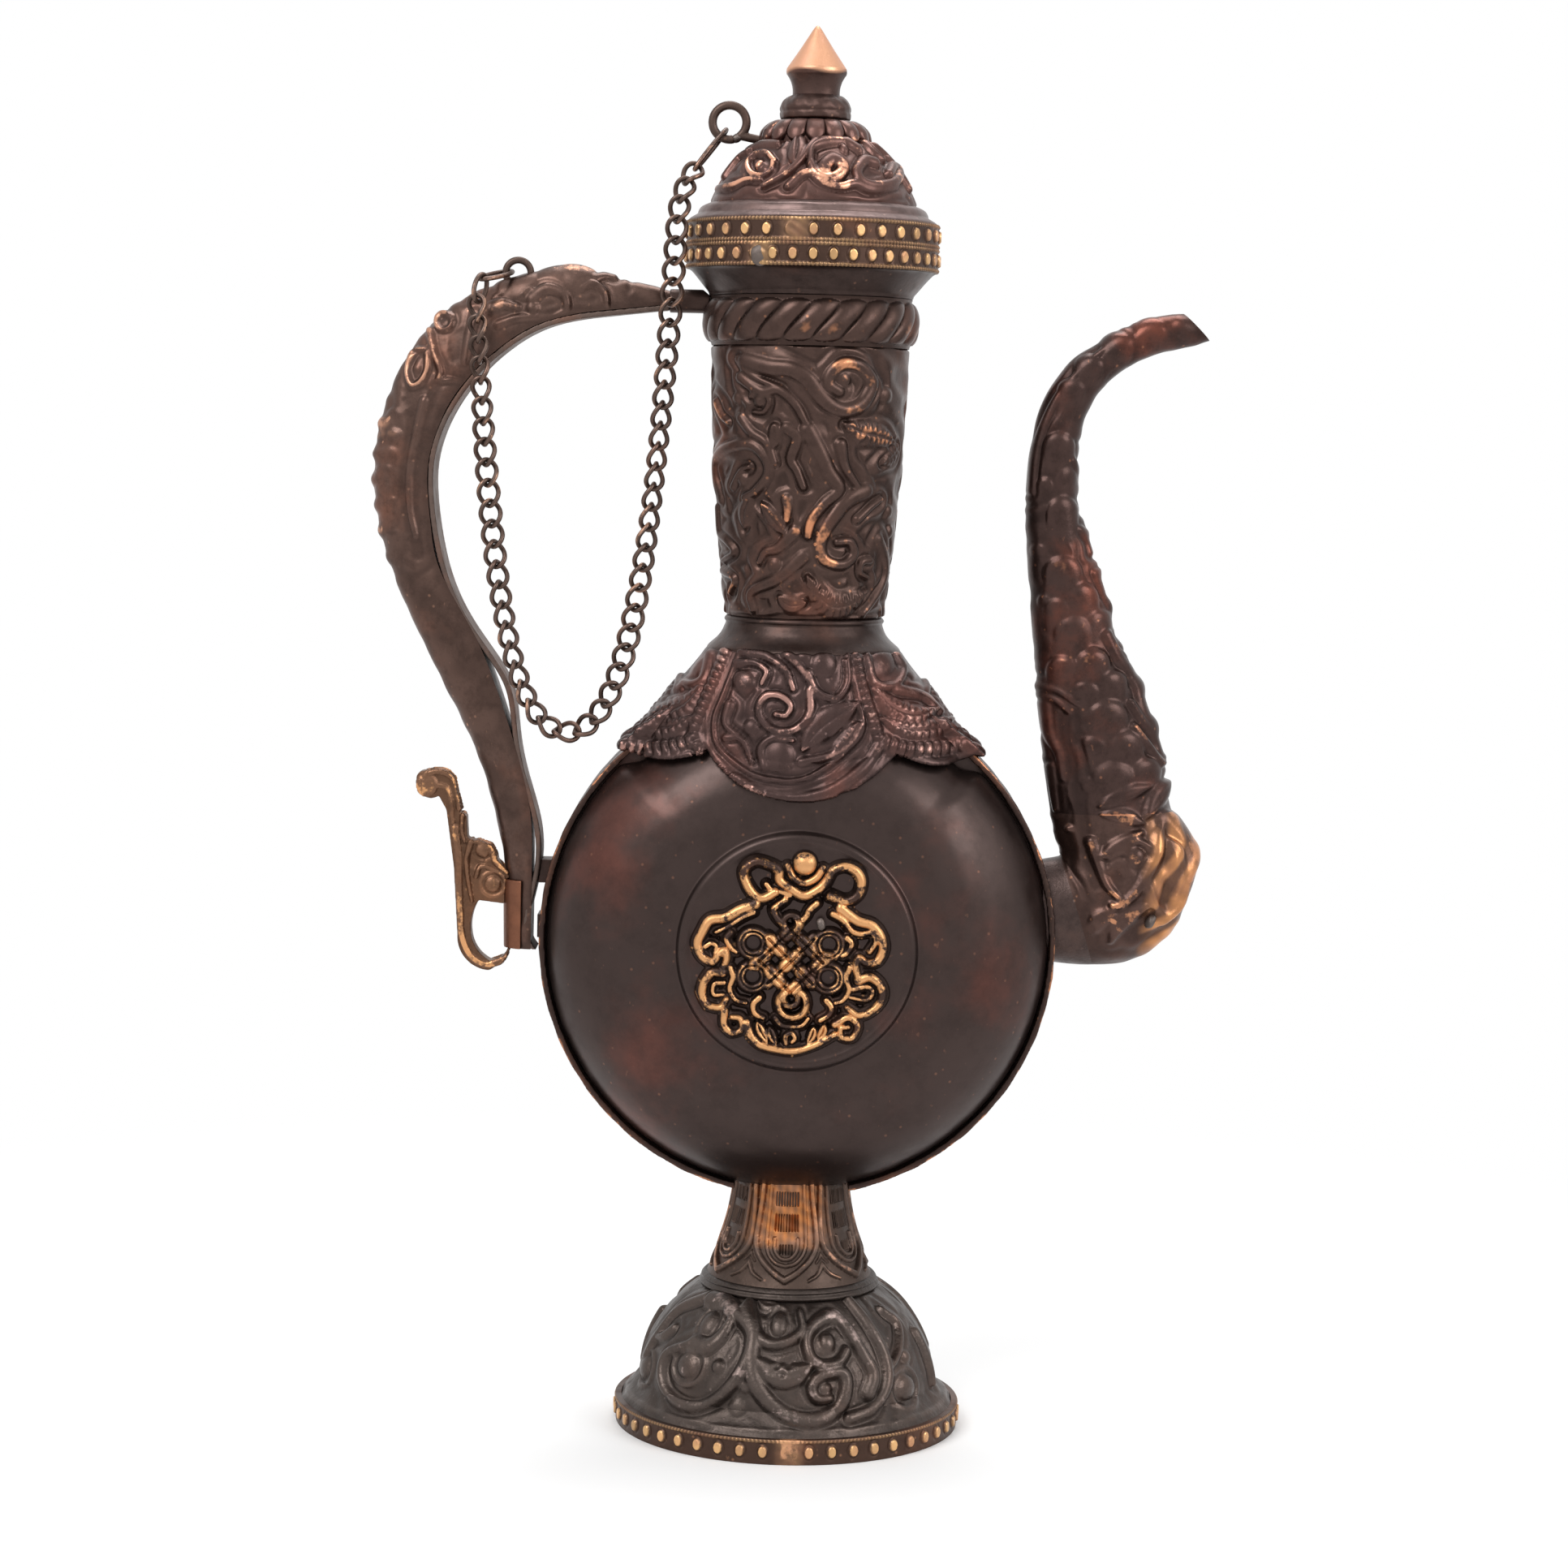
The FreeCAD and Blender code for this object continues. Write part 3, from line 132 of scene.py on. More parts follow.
def arc(start, end, middle, steps=24):
    """Points of the circle arc from start to end through the middle point."""
    (ax, ay), (bx, by), (cx, cy) = start, middle, end
    cross = 2 * (ax * (by - cy) + bx * (cy - ay) + cx * (ay - by))
    if abs(cross) < 1e-9:
        return [start, end]
    ux = ((ax * ax + ay * ay) * (by - cy) + (bx * bx + by * by) * (cy - ay)
          + (cx * cx + cy * cy) * (ay - by)) / cross
    uy = ((ax * ax + ay * ay) * (cx - bx) + (bx * bx + by * by) * (ax - cx)
          + (cx * cx + cy * cy) * (bx - ax)) / cross
    radius = math.hypot(ax - ux, ay - uy)
    first, mid, last = (math.atan2(y - uy, x - ux) for x, y in (start, middle, end))
    sweep, part = (last - first) % TURN, (mid - first) % TURN
    if part > sweep:
        sweep -= TURN
    return [(ux + radius * math.cos(first + sweep * k / steps),
             uy + radius * math.sin(first + sweep * k / steps)) for k in range(steps + 1)]


def spaced(points, step):
    """The line again with points at an even distance, its corners kept within half a step."""
    points = np.asarray(points, float)
    runs = np.hypot(*np.diff(points, axis=0).T)
    along = np.concatenate([[0], np.cumsum(runs)])
    count = max(2, int(round(along[-1] / step)) + 1)
    places = np.linspace(0, along[-1], count)
    return np.column_stack([np.interp(places, along, points[:, k]) for k in range(points.shape[1])]), places


# Relief: raised and cut lines on an unrolled surface

FLOW_REACH = 3.0
NOTCH_DEPTH, LEAF_NOTCH_DEPTH = 0.45, 0.3


def blurred(values, passes):
    """A height sheet softened; its columns close on themselves."""
    for _ in range(passes):
        values = (np.roll(values, 1, axis=1) + 2 * values + np.roll(values, -1, axis=1)) / 4
        padded = np.concatenate([values[:1], values, values[-1:]])
        values = (padded[:-2] + 2 * padded[1:-1] + padded[2:]) / 4
    return values


class Relief:
    """Raised strokes, bosses and cut lines over a surface with two coordinates in millimetres."""

    def __init__(self, across, up):
        self.across, self.up = across, up
        self.height = np.zeros(across.shape)
        self.away = np.full(across.shape, FLOW_REACH)

    def near(self, points, margin):
        low, high = points[:, :2].min(0) - margin, points[:, :2].max(0) + margin
        return np.nonzero((self.across > low[0]) & (self.across < high[0])
                          & (self.up > low[1]) & (self.up < high[1]))

    def measure(self, points, widths, margin):
        """Places near a line, their distance from it over its width there, and their run along it."""
        spots = self.near(points, max(margin, FLOW_REACH))
        a, b = self.across[spots], self.up[spots]
        best = np.full(a.shape, 9.0)
        nearest = np.full(a.shape, FLOW_REACH)
        run = np.zeros(a.shape)
        travelled = 0.0
        for index in range(len(points) - 1):
            p, q = points[index, :2], points[index + 1, :2]
            way = q - p
            length = math.hypot(*way)
            if length < 1e-6:
                continue
            share = np.clip(((a - p[0]) * way[0] + (b - p[1]) * way[1]) / length ** 2, 0, 1)
            gap = np.hypot(a - p[0] - way[0] * share, b - p[1] - way[1] * share)
            nearest = np.minimum(nearest, gap)
            gap = gap / (widths[index] + (widths[index + 1] - widths[index]) * share)
            closer = gap < best
            best[closer] = gap[closer]
            run[closer] = travelled + length * share[closer]
            travelled += length
        self.away[spots] = np.minimum(self.away[spots], nearest)
        return spots, best, run, travelled

    def flow(self, height, pitch, skip=0.5):
        """Low ridges over the ground between the strokes, following them."""
        bent = (0.4 * np.sin(self.across * 0.83 + 0.6 * self.up)
                + 0.3 * np.sin(self.up * 1.27 - self.across * 0.41 + 1.0))
        wave = 0.5 - 0.5 * np.cos(TURN * (self.away + bent) / pitch)
        ground = height * wave ** 0.8 * np.clip((self.away - skip) / 0.5, 0, 1)
        self.height = np.where(self.height > 0, np.maximum(self.height, ground), self.height + ground)

    def stroke(self, points, width, height, end_width=None, ticks=0.0, steps=5, flat=0.5):
        """Rounded ridge along a line; ticks is the pitch of notches cut across it."""
        points = rounded(points, steps)
        half = np.linspace(width, width if end_width is None else end_width, len(points)) / 2
        spots, gap, run, _ = self.measure(points, half, width)
        swell = height * np.clip(1 - gap ** 2, 0, 1) ** flat
        if ticks:
            swell = swell * (1 - NOTCH_DEPTH * np.clip(np.cos(TURN * run / ticks) * 2 - 0.6, 0, 1))
        self.height[spots] = np.maximum(self.height[spots], swell)

    def leaf(self, points, width, height, rib=0.35, ticks=0.0):
        """Pointed leaf along a line, widest in the middle, with a groove down its rib."""
        points = rounded(points, 5)
        share = np.linspace(0, 1, len(points))
        half = width / 2 * np.sin(math.pi * np.clip(share, 0.03, 0.97)) ** 0.7
        spots, gap, run, _ = self.measure(points, half, width)
        swell = height * np.clip(1 - gap ** 2, 0, 1) ** 0.5
        swell = swell * (1 - rib * np.exp(-(gap / 0.16) ** 2))
        if ticks:
            notch = np.clip(np.cos(TURN * run / ticks) * 2 - 0.6, 0, 1) * (gap > 0.25)
            swell = swell * (1 - LEAF_NOTCH_DEPTH * notch)
        self.height[spots] = np.maximum(self.height[spots], swell)

    def boss(self, place, radius, height, collar=0.0):
        spots = self.near(np.array([place]), radius * 2.4)
        gap = np.hypot(self.across[spots] - place[0], self.up[spots] - place[1]) / radius
        swell = height * np.clip(1 - gap ** 2, 0, 1) ** 0.5
        if collar:
            swell = np.maximum(swell, height * collar * np.exp(-((gap - 1.45) / 0.2) ** 2))
        self.height[spots] = np.maximum(self.height[spots], swell)

    def scale(self, place, width, height, tall=1.3):
        """One overlapping scale: a round top edge that stands proud and sinks away below."""
        spots = self.near(np.array([place]), width * tall)
        across = (self.across[spots] - place[0]) / (width / 2)
        up = (self.up[spots] - place[1]) / (width / 2)
        reach = np.where(up > 0, np.hypot(across, up), np.abs(across))
        inside = np.clip(1 - reach ** 2.6, 0, 1) ** 0.55
        swell = height * inside * (0.25 + 0.75 * np.clip((up + tall) / (tall + 0.6), 0, 1))
        self.height[spots] = np.maximum(self.height[spots], swell * (up > -2 * tall))

    def pit(self, place, radius, depth):
        spots = self.near(np.array([place]), radius * 1.2)
        gap = np.hypot(self.across[spots] - place[0], self.up[spots] - place[1]) / radius
        self.height[spots] -= depth * np.clip(1.15 - gap, 0, 1) ** 0.5 * (gap < 1.15)

    def cut(self, points, width, depth):
        points = rounded(points, 5)
        spots, gap, _, _ = self.measure(points, np.full(len(points), width / 2), width * 1.5)
        self.height[spots] -= depth * np.clip(1 - gap ** 2, 0, 1)


# Meshes

def linked(name, mesh):
    thing = bpy.data.objects.new(name, mesh)
    bpy.context.scene.collection.objects.link(thing)
    return thing


def mesh_piece(name, places, faces, worn=None, bright=None):
    """Closed smooth mesh from rows of places in millimetres and faces of four corners."""
    mesh = bpy.data.meshes.new(name)
    places = np.asarray(places, float) * MM
    a, b, c, d = (places[faces[:, k]] for k in range(4))
    if np.einsum("ij,ij->i", a, np.cross(b, c)).sum() + np.einsum("ij,ij->i", a, np.cross(c, d)).sum() < 0:
        faces = faces[:, ::-1]
    mesh.vertices.add(len(places))
    mesh.vertices.foreach_set("co", places.ravel())
    mesh.loops.add(faces.size)
    mesh.loops.foreach_set("vertex_index", faces.ravel().astype(np.int32))
    mesh.polygons.add(len(faces))
    mesh.polygons.foreach_set("loop_start", np.arange(0, faces.size, 4, dtype=np.int32))
    mesh.update(calc_edges=True)
    mesh.validate()
    for title, values in (("worn", worn), ("bright", bright)):
        if values is not None:
            layer = mesh.attributes.new(title, "FLOAT", "POINT")
            layer.data.foreach_set("value", np.asarray(values, np.float32).ravel())
    finish_mesh(mesh)
    return linked(name, mesh)


def finish_mesh(mesh, angle=40.0):
    mesh.polygons.foreach_set("use_smooth", np.ones(len(mesh.polygons), bool))
    mesh.set_sharp_from_angle(angle=math.radians(angle))


def set_in_place(thing, body, material, slot, *stands_for):
    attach(thing, body)
    if stands_for:
        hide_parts(*stands_for)
    thing.data.materials.clear()
    thing.data.materials.append(material)
    return thing


def outward(grid):
    """Unit normals, away from the middle, of a grid of rings that close on themselves."""
    across = np.roll(grid, -1, axis=1) - np.roll(grid, 1, axis=1)
    normal = np.cross(across, np.gradient(grid, axis=0))
    normal /= np.maximum(np.linalg.norm(normal, axis=2, keepdims=True), 1e-9)
    if (normal * (grid - grid.mean(axis=1, keepdims=True))).sum() < 0:
        return -normal
    return normal


def skin(name, outer, inner, worn, bright=None):
    """Closed sheet between an outer and an inner grid of rings, joined at both ends."""
    rows, columns = outer.shape[:2]
    inner = inner[::-1]
    places = np.concatenate([outer, inner]).reshape(-1, 3)
    total = rows + len(inner)
    ring = np.arange(columns)
    after = (ring + 1) % columns
    faces = []
    for row in range(total):
        here, there = row * columns, ((row + 1) % total) * columns
        faces.append(np.column_stack([here + ring, here + after, there + after, there + ring]))

    def padded(values):
        if values is None:
            return None
        return np.concatenate([values, np.zeros((len(inner), columns))])
    return mesh_piece(name, places, np.concatenate(faces), padded(worn), padded(bright))


END_FADE = 0.3


def turned(name, profile, back, relief, around, step=0.12):
    """Turned sheet: outer profile from low to high, back profile likewise, both as radius and height.

    relief gets angle, height and distance along the profile, and returns how far the surface rises and
    how worn and bright it is.
    """
    line, run = spaced(profile, step)
    way = np.gradient(line, axis=0)
    normal = np.column_stack([way[:, 1], -way[:, 0]])
    normal /= np.maximum(np.linalg.norm(normal, axis=1, keepdims=True), 1e-9)
    angle = np.linspace(0, TURN, around, endpoint=False) - math.pi
    angles, heights = np.meshgrid(angle, line[:, 1])
    runs = np.repeat(run[:, None], around, axis=1)
    rise, worn, bright = relief(angles, heights, runs)
    rise = rise * np.clip(np.minimum(runs, run[-1] - runs) / END_FADE, 0, 1)
    radius = line[:, 0][:, None] + normal[:, 0][:, None] * rise
    height = line[:, 1][:, None] + normal[:, 1][:, None] * rise
    outer = np.stack([radius * np.sin(angles), -radius * np.cos(angles), height], axis=2)
    back = np.asarray(back, float)
    inner = np.stack([back[:, 0][:, None] * np.sin(angle), -back[:, 0][:, None] * np.cos(angle),
                      np.repeat(back[:, 1][:, None], around, axis=1)], axis=2)
    return skin(name, outer, inner, worn, bright)


def softened(name, node, voxel, passes, relief=None, blend=0, planes=()):
    """The solid's own mesh, made even and rounded, with relief from its places and normals."""
    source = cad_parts[node]
    mesh = source.data.copy()
    mesh.name = name
    thing = linked(name, mesh)
    scaled = bmesh.new()
    scaled.from_mesh(mesh)
    bmesh.ops.remove_doubles(scaled, verts=scaled.verts, dist=0.002 * MM)
    bmesh.ops.scale(scaled, vec=(1 / MM, 1 / MM, 1 / MM), verts=scaled.verts)
    for place, way in planes:
        cut = bmesh.ops.bisect_plane(scaled, geom=scaled.verts[:] + scaled.edges[:] + scaled.faces[:],
                                     plane_co=place, plane_no=way, clear_outer=True)["geom_cut"]
        bmesh.ops.holes_fill(scaled, edges=[edge for edge in cut if isinstance(edge, bmesh.types.BMEdge)])
    scaled.to_mesh(mesh)
    scaled.free()
    remesh = thing.modifiers.new("even", "REMESH")
    remesh.mode = "VOXEL"
    remesh.voxel_size = voxel
    smooth = thing.modifiers.new("round", "SMOOTH")
    smooth.factor = 0.5
    smooth.iterations = passes
    evened = bpy.data.meshes.new_from_object(thing.evaluated_get(bpy.context.evaluated_depsgraph_get()))
    bpy.data.objects.remove(thing)
    count = len(evened.vertices)
    places, normals = np.zeros(count * 3), np.zeros(count * 3)
    evened.vertices.foreach_get("co", places)
    evened.vertex_normals.foreach_get("vector", normals)
    places, normals = places.reshape(-1, 3), normals.reshape(-1, 3)
    worn = np.zeros(count)
    if relief:
        rise, worn = relief(places, normals)
        pairs = np.zeros(len(evened.edges) * 2, np.int32)
        evened.edges.foreach_get("vertices", pairs)
        ends = np.concatenate([pairs, pairs.reshape(-1, 2)[:, ::-1].ravel()]).reshape(-1, 2)
        around = np.maximum(np.bincount(ends[:, 0], minlength=count), 1)
        for _ in range(blend):
            rise = 0.5 * rise + 0.5 * np.bincount(ends[:, 0], rise[ends[:, 1]], count) / around
        places = places + normals * rise[:, None]
    evened.vertices.foreach_set("co", (places * MM).ravel())
    evened.name = name
    layer = evened.attributes.new("worn", "FLOAT", "POINT")
    layer.data.foreach_set("value", worn.astype(np.float32))
    evened.update()
    finish_mesh(evened, 180.0)
    return linked(name, evened)


# Finishes

def linear(red, green, blue):
    return tuple((c / 12.92 if c <= 0.04045 else ((c + 0.055) / 1.055) ** 2.4)
                 for c in (red / 255, green / 255, blue / 255)) + (1.0,)


def add(tree, kind, settings=None, **inputs):
    node = tree.nodes.new(kind)
    for key, value in (settings or {}).items():
        setattr(node, key, value)
    for key, value in inputs.items():
        socket = node.inputs[int(key[1:])] if key[1:].isdigit() else node.inputs[key.replace("_", " ")]
        if hasattr(value, "links"):
            tree.links.new(value, socket)
        else:
            socket.default_value = value
    return node


def group(name, inputs, outputs):
    tree = bpy.data.node_groups.new(name, "ShaderNodeTree")
    for title, kind, value in inputs:
        socket = tree.interface.new_socket(title, in_out="INPUT", socket_type="NodeSocket" + kind)
        socket.default_value = value
    for title, kind in outputs:
        tree.interface.new_socket(title, in_out="OUTPUT", socket_type="NodeSocket" + kind)
    return tree, tree.nodes.new("NodeGroupInput"), tree.nodes.new("NodeGroupOutput")


def maths(tree, operation, first, second=0.0, clamp=False):
    return add(tree, "ShaderNodeMath", {"operation": operation, "use_clamp": clamp},
               i0=first, i1=second).outputs[0]


def mixed(tree, share, first, second):
    node = add(tree, "ShaderNodeMix", {"data_type": "RGBA"}, i0=share, i6=first, i7=second)
    return node.outputs[2]


def noise(tree, place, scale, detail=4.0, rough=0.55):
    return add(tree, "ShaderNodeTexNoise", None, Vector=place, Scale=scale, Detail=detail,
               Roughness=rough).outputs["Fac"]


def stepped(tree, value, low, high):
    return add(tree, "ShaderNodeMapRange", {"interpolation_type": "SMOOTHSTEP"},
               Value=value, From_Min=low, From_Max=high).outputs[0]


def seen_directly(tree):
    """One for rays of the camera and for those that reflect or pass on what it sees."""
    path = tree.nodes.new("ShaderNodeLightPath").outputs
    indirect = maths(tree, "MAXIMUM", path["Is Glossy Ray"], path["Is Transmission Ray"])
    return maths(tree, "MAXIMUM", path["Is Camera Ray"], indirect)


def patina_blotches():
    """Cloudy changes of an old brown finish: masks of warm, dull and mottled places, and a fine grain."""
    results = [(title, "Float") for title in ("Warm", "Dull", "Mottle", "Grain")]
    tree, entry, exit_node = group("patina_blotches", [("Size", "Float", 60.0)], results)
    place = tree.nodes.new("ShaderNodeTexCoord").outputs["Object"]
    size = entry.outputs["Size"]
    slow = noise(tree, place, size, 5.0, 0.6)
    shifted = add(tree, "ShaderNodeVectorMath", {"operation": "ADD"}, i0=place,
                  i1=(0.37, 0.11, 0.23)).outputs[0]
    dull = noise(tree, shifted, maths(tree, "MULTIPLY", size, 2.3), 6.0, 0.65)
    fine = noise(tree, place, maths(tree, "MULTIPLY", size, 26.0), 3.0, 0.6)
    mottle = noise(tree, shifted, maths(tree, "MULTIPLY", size, 7.0), 8.0, 0.75)
    tree.links.new(stepped(tree, mottle, 0.42, 0.68), exit_node.inputs["Mottle"])
    tree.links.new(stepped(tree, slow, 0.5, 0.72), exit_node.inputs["Warm"])
    tree.links.new(stepped(tree, dull, 0.42, 0.7), exit_node.inputs["Dull"])
    tree.links.new(fine, exit_node.inputs["Grain"])
    return tree


def rubbed_edges_and_hollow_shade():
    """Mask of high places where handling has rubbed the finish through to the metal, and a mask of painted
    shade for low and concave places.
    """
    tree, entry, exit_node = group("rubbed_edges_and_hollow_shade", [("Wear", "Float", 0.5), ("Size", "Float", 60.0)],
                                   [("Rubbed", "Float"), ("Hollow", "Float")])
    high = add(tree, "ShaderNodeAttribute", {"attribute_name": "worn"}).outputs["Fac"]
    point = tree.nodes.new("ShaderNodeNewGeometry").outputs["Pointiness"]
    place = tree.nodes.new("ShaderNodeTexCoord").outputs["Object"]
    patch = noise(tree, place, entry.outputs["Size"], 5.0, 0.7)
    sharp = stepped(tree, point, 0.5, 0.58)
    raised = maths(tree, "ADD", maths(tree, "MULTIPLY", high, 0.75), maths(tree, "MULTIPLY", sharp, 0.35))
    lifted = maths(tree, "MULTIPLY", raised, stepped(tree, patch, 0.36, 0.66))
    limit = maths(tree, "SUBTRACT", 1.0, entry.outputs["Wear"])
    over = maths(tree, "SUBTRACT", lifted, limit)
    tree.links.new(stepped(tree, over, -0.08, 0.22), exit_node.inputs["Rubbed"])
    # Low and concave places get painted shade, darkest in the hollows.
    low = maths(tree, "SUBTRACT", 1.0, stepped(tree, high, 0.0, 0.35))
    pit = maths(tree, "SUBTRACT", 1.0, stepped(tree, point, 0.43, 0.5))
    painted_hollow_shade = maths(tree, "MAXIMUM", maths(tree, "MULTIPLY", low, 0.6), pit)
    tree.links.new(painted_hollow_shade, exit_node.inputs["Hollow"])
    return tree


def fine_scratches():
    """Masks of thin scratches and of specks."""
    tree, entry, exit_node = group("fine_scratches", [("Size", "Float", 900.0)],
                                   [("Scratch", "Float"), ("Speck", "Float")])
    place = tree.nodes.new("ShaderNodeTexCoord").outputs["Object"]
    slanted = add(tree, "ShaderNodeMapping", None, Vector=place, Rotation=(0.3, 0.5, 0.9),
                  Scale=(1.0, 0.12, 0.6)).outputs[0]
    lines = noise(tree, slanted, maths(tree, "MULTIPLY", entry.outputs["Size"], 1.6), 2.0, 0.5)
    spread = maths(tree, "MULTIPLY", entry.outputs["Size"], 0.5)
    dots = add(tree, "ShaderNodeTexVoronoi", None, Vector=place, Scale=spread).outputs["Distance"]
    tree.links.new(stepped(tree, lines, 0.7, 0.78), exit_node.inputs["Scratch"])
    tree.links.new(maths(tree, "SUBTRACT", 1.0, stepped(tree, dots, 0.03, 0.12)), exit_node.inputs["Speck"])
    return tree


BLOTCHES, RUBBING_AND_HOLLOW_SHADE, SCRATCHES = patina_blotches(), rubbed_edges_and_hollow_shade(), fine_scratches()


def placed_group(tree, kind, **inputs):
    node = add(tree, "ShaderNodeGroup", {"node_tree": kind})
    for key, value in inputs.items():
        node.inputs[key].default_value = value
    return node.outputs


# Shares of the masks in colour, roughness and height; a finish below gives its colours and the rest
# The second share darkens the colour used for the finish's own mottling and for the painted shade in
# hollows.
WARM_SHARE, MOTTLE_AND_PAINTED_SHADE_DARKNESS = 0.8, 0.32
SCRATCH_SIZE, SCRATCH_SHARE, SPECK_SHARE, SPECK_DEPTH = 900.0, 0.16, 0.3, 0.6
DULL_ROUGHNESS, HOLLOW_ROUGHNESS, METAL, BUMP = 0.2, 0.12, 0.85, 0.5


def aged_metal(name, dark, warm, bare, wear, rough, blotch, grain, bright=None, rub_size=160.0, painted_hollow_shade=0.75,
               mottle=0.35):
    """Old finish over metal: dark colour with warm blotches, rubbed bare on its high places, and darkened in
    its hollows by painted shade.
    """
    material = bpy.data.materials.new(name)
    material.use_nodes = True
    tree = material.node_tree
    tree.nodes.clear()
    cloud = placed_group(tree, BLOTCHES, Size=blotch)
    rub_and_shade = placed_group(tree, RUBBING_AND_HOLLOW_SHADE, Wear=wear, Size=rub_size)
    marks = placed_group(tree, SCRATCHES, Size=SCRATCH_SIZE)
    rubbed = linear(*bare)
    # A darker colour for the finish's own mottling and for the painted shade in hollows.
    mottle_and_painted_shade = tuple(c * MOTTLE_AND_PAINTED_SHADE_DARKNESS for c in linear(*dark)[:3]) + (1.0,)
    colour = mixed(tree, maths(tree, "MULTIPLY", cloud["Warm"], WARM_SHARE), linear(*dark), linear(*warm))
    for mask, share, tint in ((cloud["Mottle"], mottle, mottle_and_painted_shade), (rub_and_shade["Hollow"], painted_hollow_shade, mottle_and_painted_shade),
                              (marks["Scratch"], SCRATCH_SHARE, rubbed),
                              (marks["Speck"], SPECK_SHARE, rubbed)):
        colour = mixed(tree, maths(tree, "MULTIPLY", mask, share), colour, tint)
    colour = mixed(tree, rub_and_shade["Rubbed"], colour, rubbed)
    if bright:
        gilt = add(tree, "ShaderNodeAttribute", {"attribute_name": "bright"}).outputs["Fac"]
        colour = mixed(tree, gilt, colour, mixed(tree, cloud["Dull"], linear(*bright), rubbed))
    roughness = maths(tree, "ADD", maths(tree, "MULTIPLY", cloud["Dull"], DULL_ROUGHNESS), rough)
    roughness = maths(tree, "ADD", roughness, maths(tree, "MULTIPLY", rub_and_shade["Hollow"], HOLLOW_ROUGHNESS), True)
    height = maths(tree, "ADD", cloud["Grain"], maths(tree, "MULTIPLY", marks["Speck"], -SPECK_DEPTH))
    bump = add(tree, "ShaderNodeBump", None, Strength=BUMP, Distance=grain * MM, Height=height)
    shader = add(tree, "ShaderNodeBsdfPrincipled", None, Base_Color=colour, Roughness=roughness,
                 Metallic=METAL, Normal=bump.outputs[0])
    result = tree.nodes.new("ShaderNodeOutputMaterial")
    tree.links.new(shader.outputs[0], result.inputs[0])
    return material


BODY = aged_metal("smooth_brown_copper", (64, 52, 49), (98, 60, 52), (150, 104, 82),
                  wear=0.25, rough=0.22, blotch=38.0, grain=0.02, painted_hollow_shade=0.0, mottle=0.25)
PLAIN = aged_metal("plain_moulding", (66, 52, 48), (94, 64, 54), (150, 110, 90),
                   wear=0.3, rough=0.26, blotch=60.0, grain=0.04, painted_hollow_shade=0.3, mottle=0.45)
# Pale colours that stand in for the skirt's reflection of the top light: a painted sheen.
PAINTED_SHEEN = aged_metal("painted_sheen_moulding", (116, 96, 92), (130, 96, 84), (190, 160, 148),
                   wear=0.4, rough=0.24, blotch=60.0, grain=0.04, painted_hollow_shade=0.3, mottle=0.6)
CHASED = aged_metal("chased_brown_copper", (76, 58, 52), (114, 72, 58), (196, 134, 98),
                    wear=0.46, rough=0.3, blotch=60.0, grain=0.05, rub_size=90.0, mottle=0.4)
MATTED = aged_metal("matted_brown_copper", (80, 70, 65), (96, 78, 70), (146, 128, 122),
                    wear=0.42, rough=0.32, blotch=60.0, grain=0.16)
# Its rubbed colour, greyish pink, is partly rubbed metal on the relief tops and partly a painted highlight
# there.
COVERING = aged_metal("cover_brown_copper", (74, 57, 54), (106, 68, 60), (160, 122, 112),
                      wear=0.48, rough=0.28, blotch=60.0, grain=0.05, painted_hollow_shade=0.9)
LOTUS = aged_metal("lotus_brown_copper", (88, 72, 64), (110, 80, 66), (166, 126, 104),
                   wear=0.45, rough=0.34, blotch=70.0, grain=0.08, bright=(196, 124, 66), mottle=0.5)
# Its bright colour is used for the painted highlight on the cheek folds of the head.
MAKARA = aged_metal("makara_brown_copper", (80, 60, 54), (116, 76, 60), (180, 126, 94),
                    wear=0.46, rough=0.3, blotch=70.0, grain=0.05, bright=(204, 142, 92), mottle=0.45)
SOCKET = aged_metal("soldered_socket", (86, 70, 66), (98, 76, 68), (150, 124, 112),
                    wear=0.25, rough=0.26, blotch=110.0, grain=0.08, mottle=0.5)
GRIP = aged_metal("grip_brown_copper", (92, 71, 63), (124, 82, 66), (180, 134, 110),
                  wear=0.48, rough=0.3, blotch=60.0, grain=0.05, mottle=0.5)
RIM = aged_metal("rim_strip_copper", (66, 50, 45), (110, 72, 56), (176, 120, 88),
                 wear=0.62, rough=0.32, blotch=70.0, grain=0.04)
RUBBED_CHASING = aged_metal("rubbed_chasing", (96, 70, 64), (132, 86, 72), (226, 166, 136),
                            wear=0.56, rough=0.28, blotch=70.0, grain=0.05, painted_hollow_shade=0.85)
BAND = aged_metal("beaded_brass", (88, 66, 56), (128, 86, 66), (196, 144, 110),
                  wear=0.52, rough=0.32, blotch=80.0, grain=0.03, bright=(236, 188, 130))
GILT = aged_metal("gilt_casting", (66, 50, 44), (92, 62, 50), (208, 154, 104),
                  wear=0.82, rough=0.3, blotch=120.0, grain=0.08, rub_size=300.0, painted_hollow_shade=0.9)
FINIAL = aged_metal("turned_copper", (92, 70, 64), (126, 86, 72), (204, 154, 128),
                    wear=0.42, rough=0.28, blotch=90.0, grain=0.05, bright=(214, 160, 126), mottle=0.5)
SCALED = aged_metal("scaled_brown_copper", (68, 51, 47), (116, 64, 50), (186, 126, 94),
                    wear=0.44, rough=0.28, blotch=60.0, grain=0.05, rub_size=90.0, painted_hollow_shade=0.9, mottle=0.5)
SOLDER = aged_metal("grey_solder", (124, 112, 106), (126, 106, 94), (204, 190, 178),
                    wear=0.5, rough=0.36, blotch=120.0, grain=0.12, mottle=0.4)
CHAIN = aged_metal("brown_wire", (98, 80, 72), (116, 88, 76), (164, 128, 108),
                   wear=0.45, rough=0.34, blotch=120.0, grain=0.03)
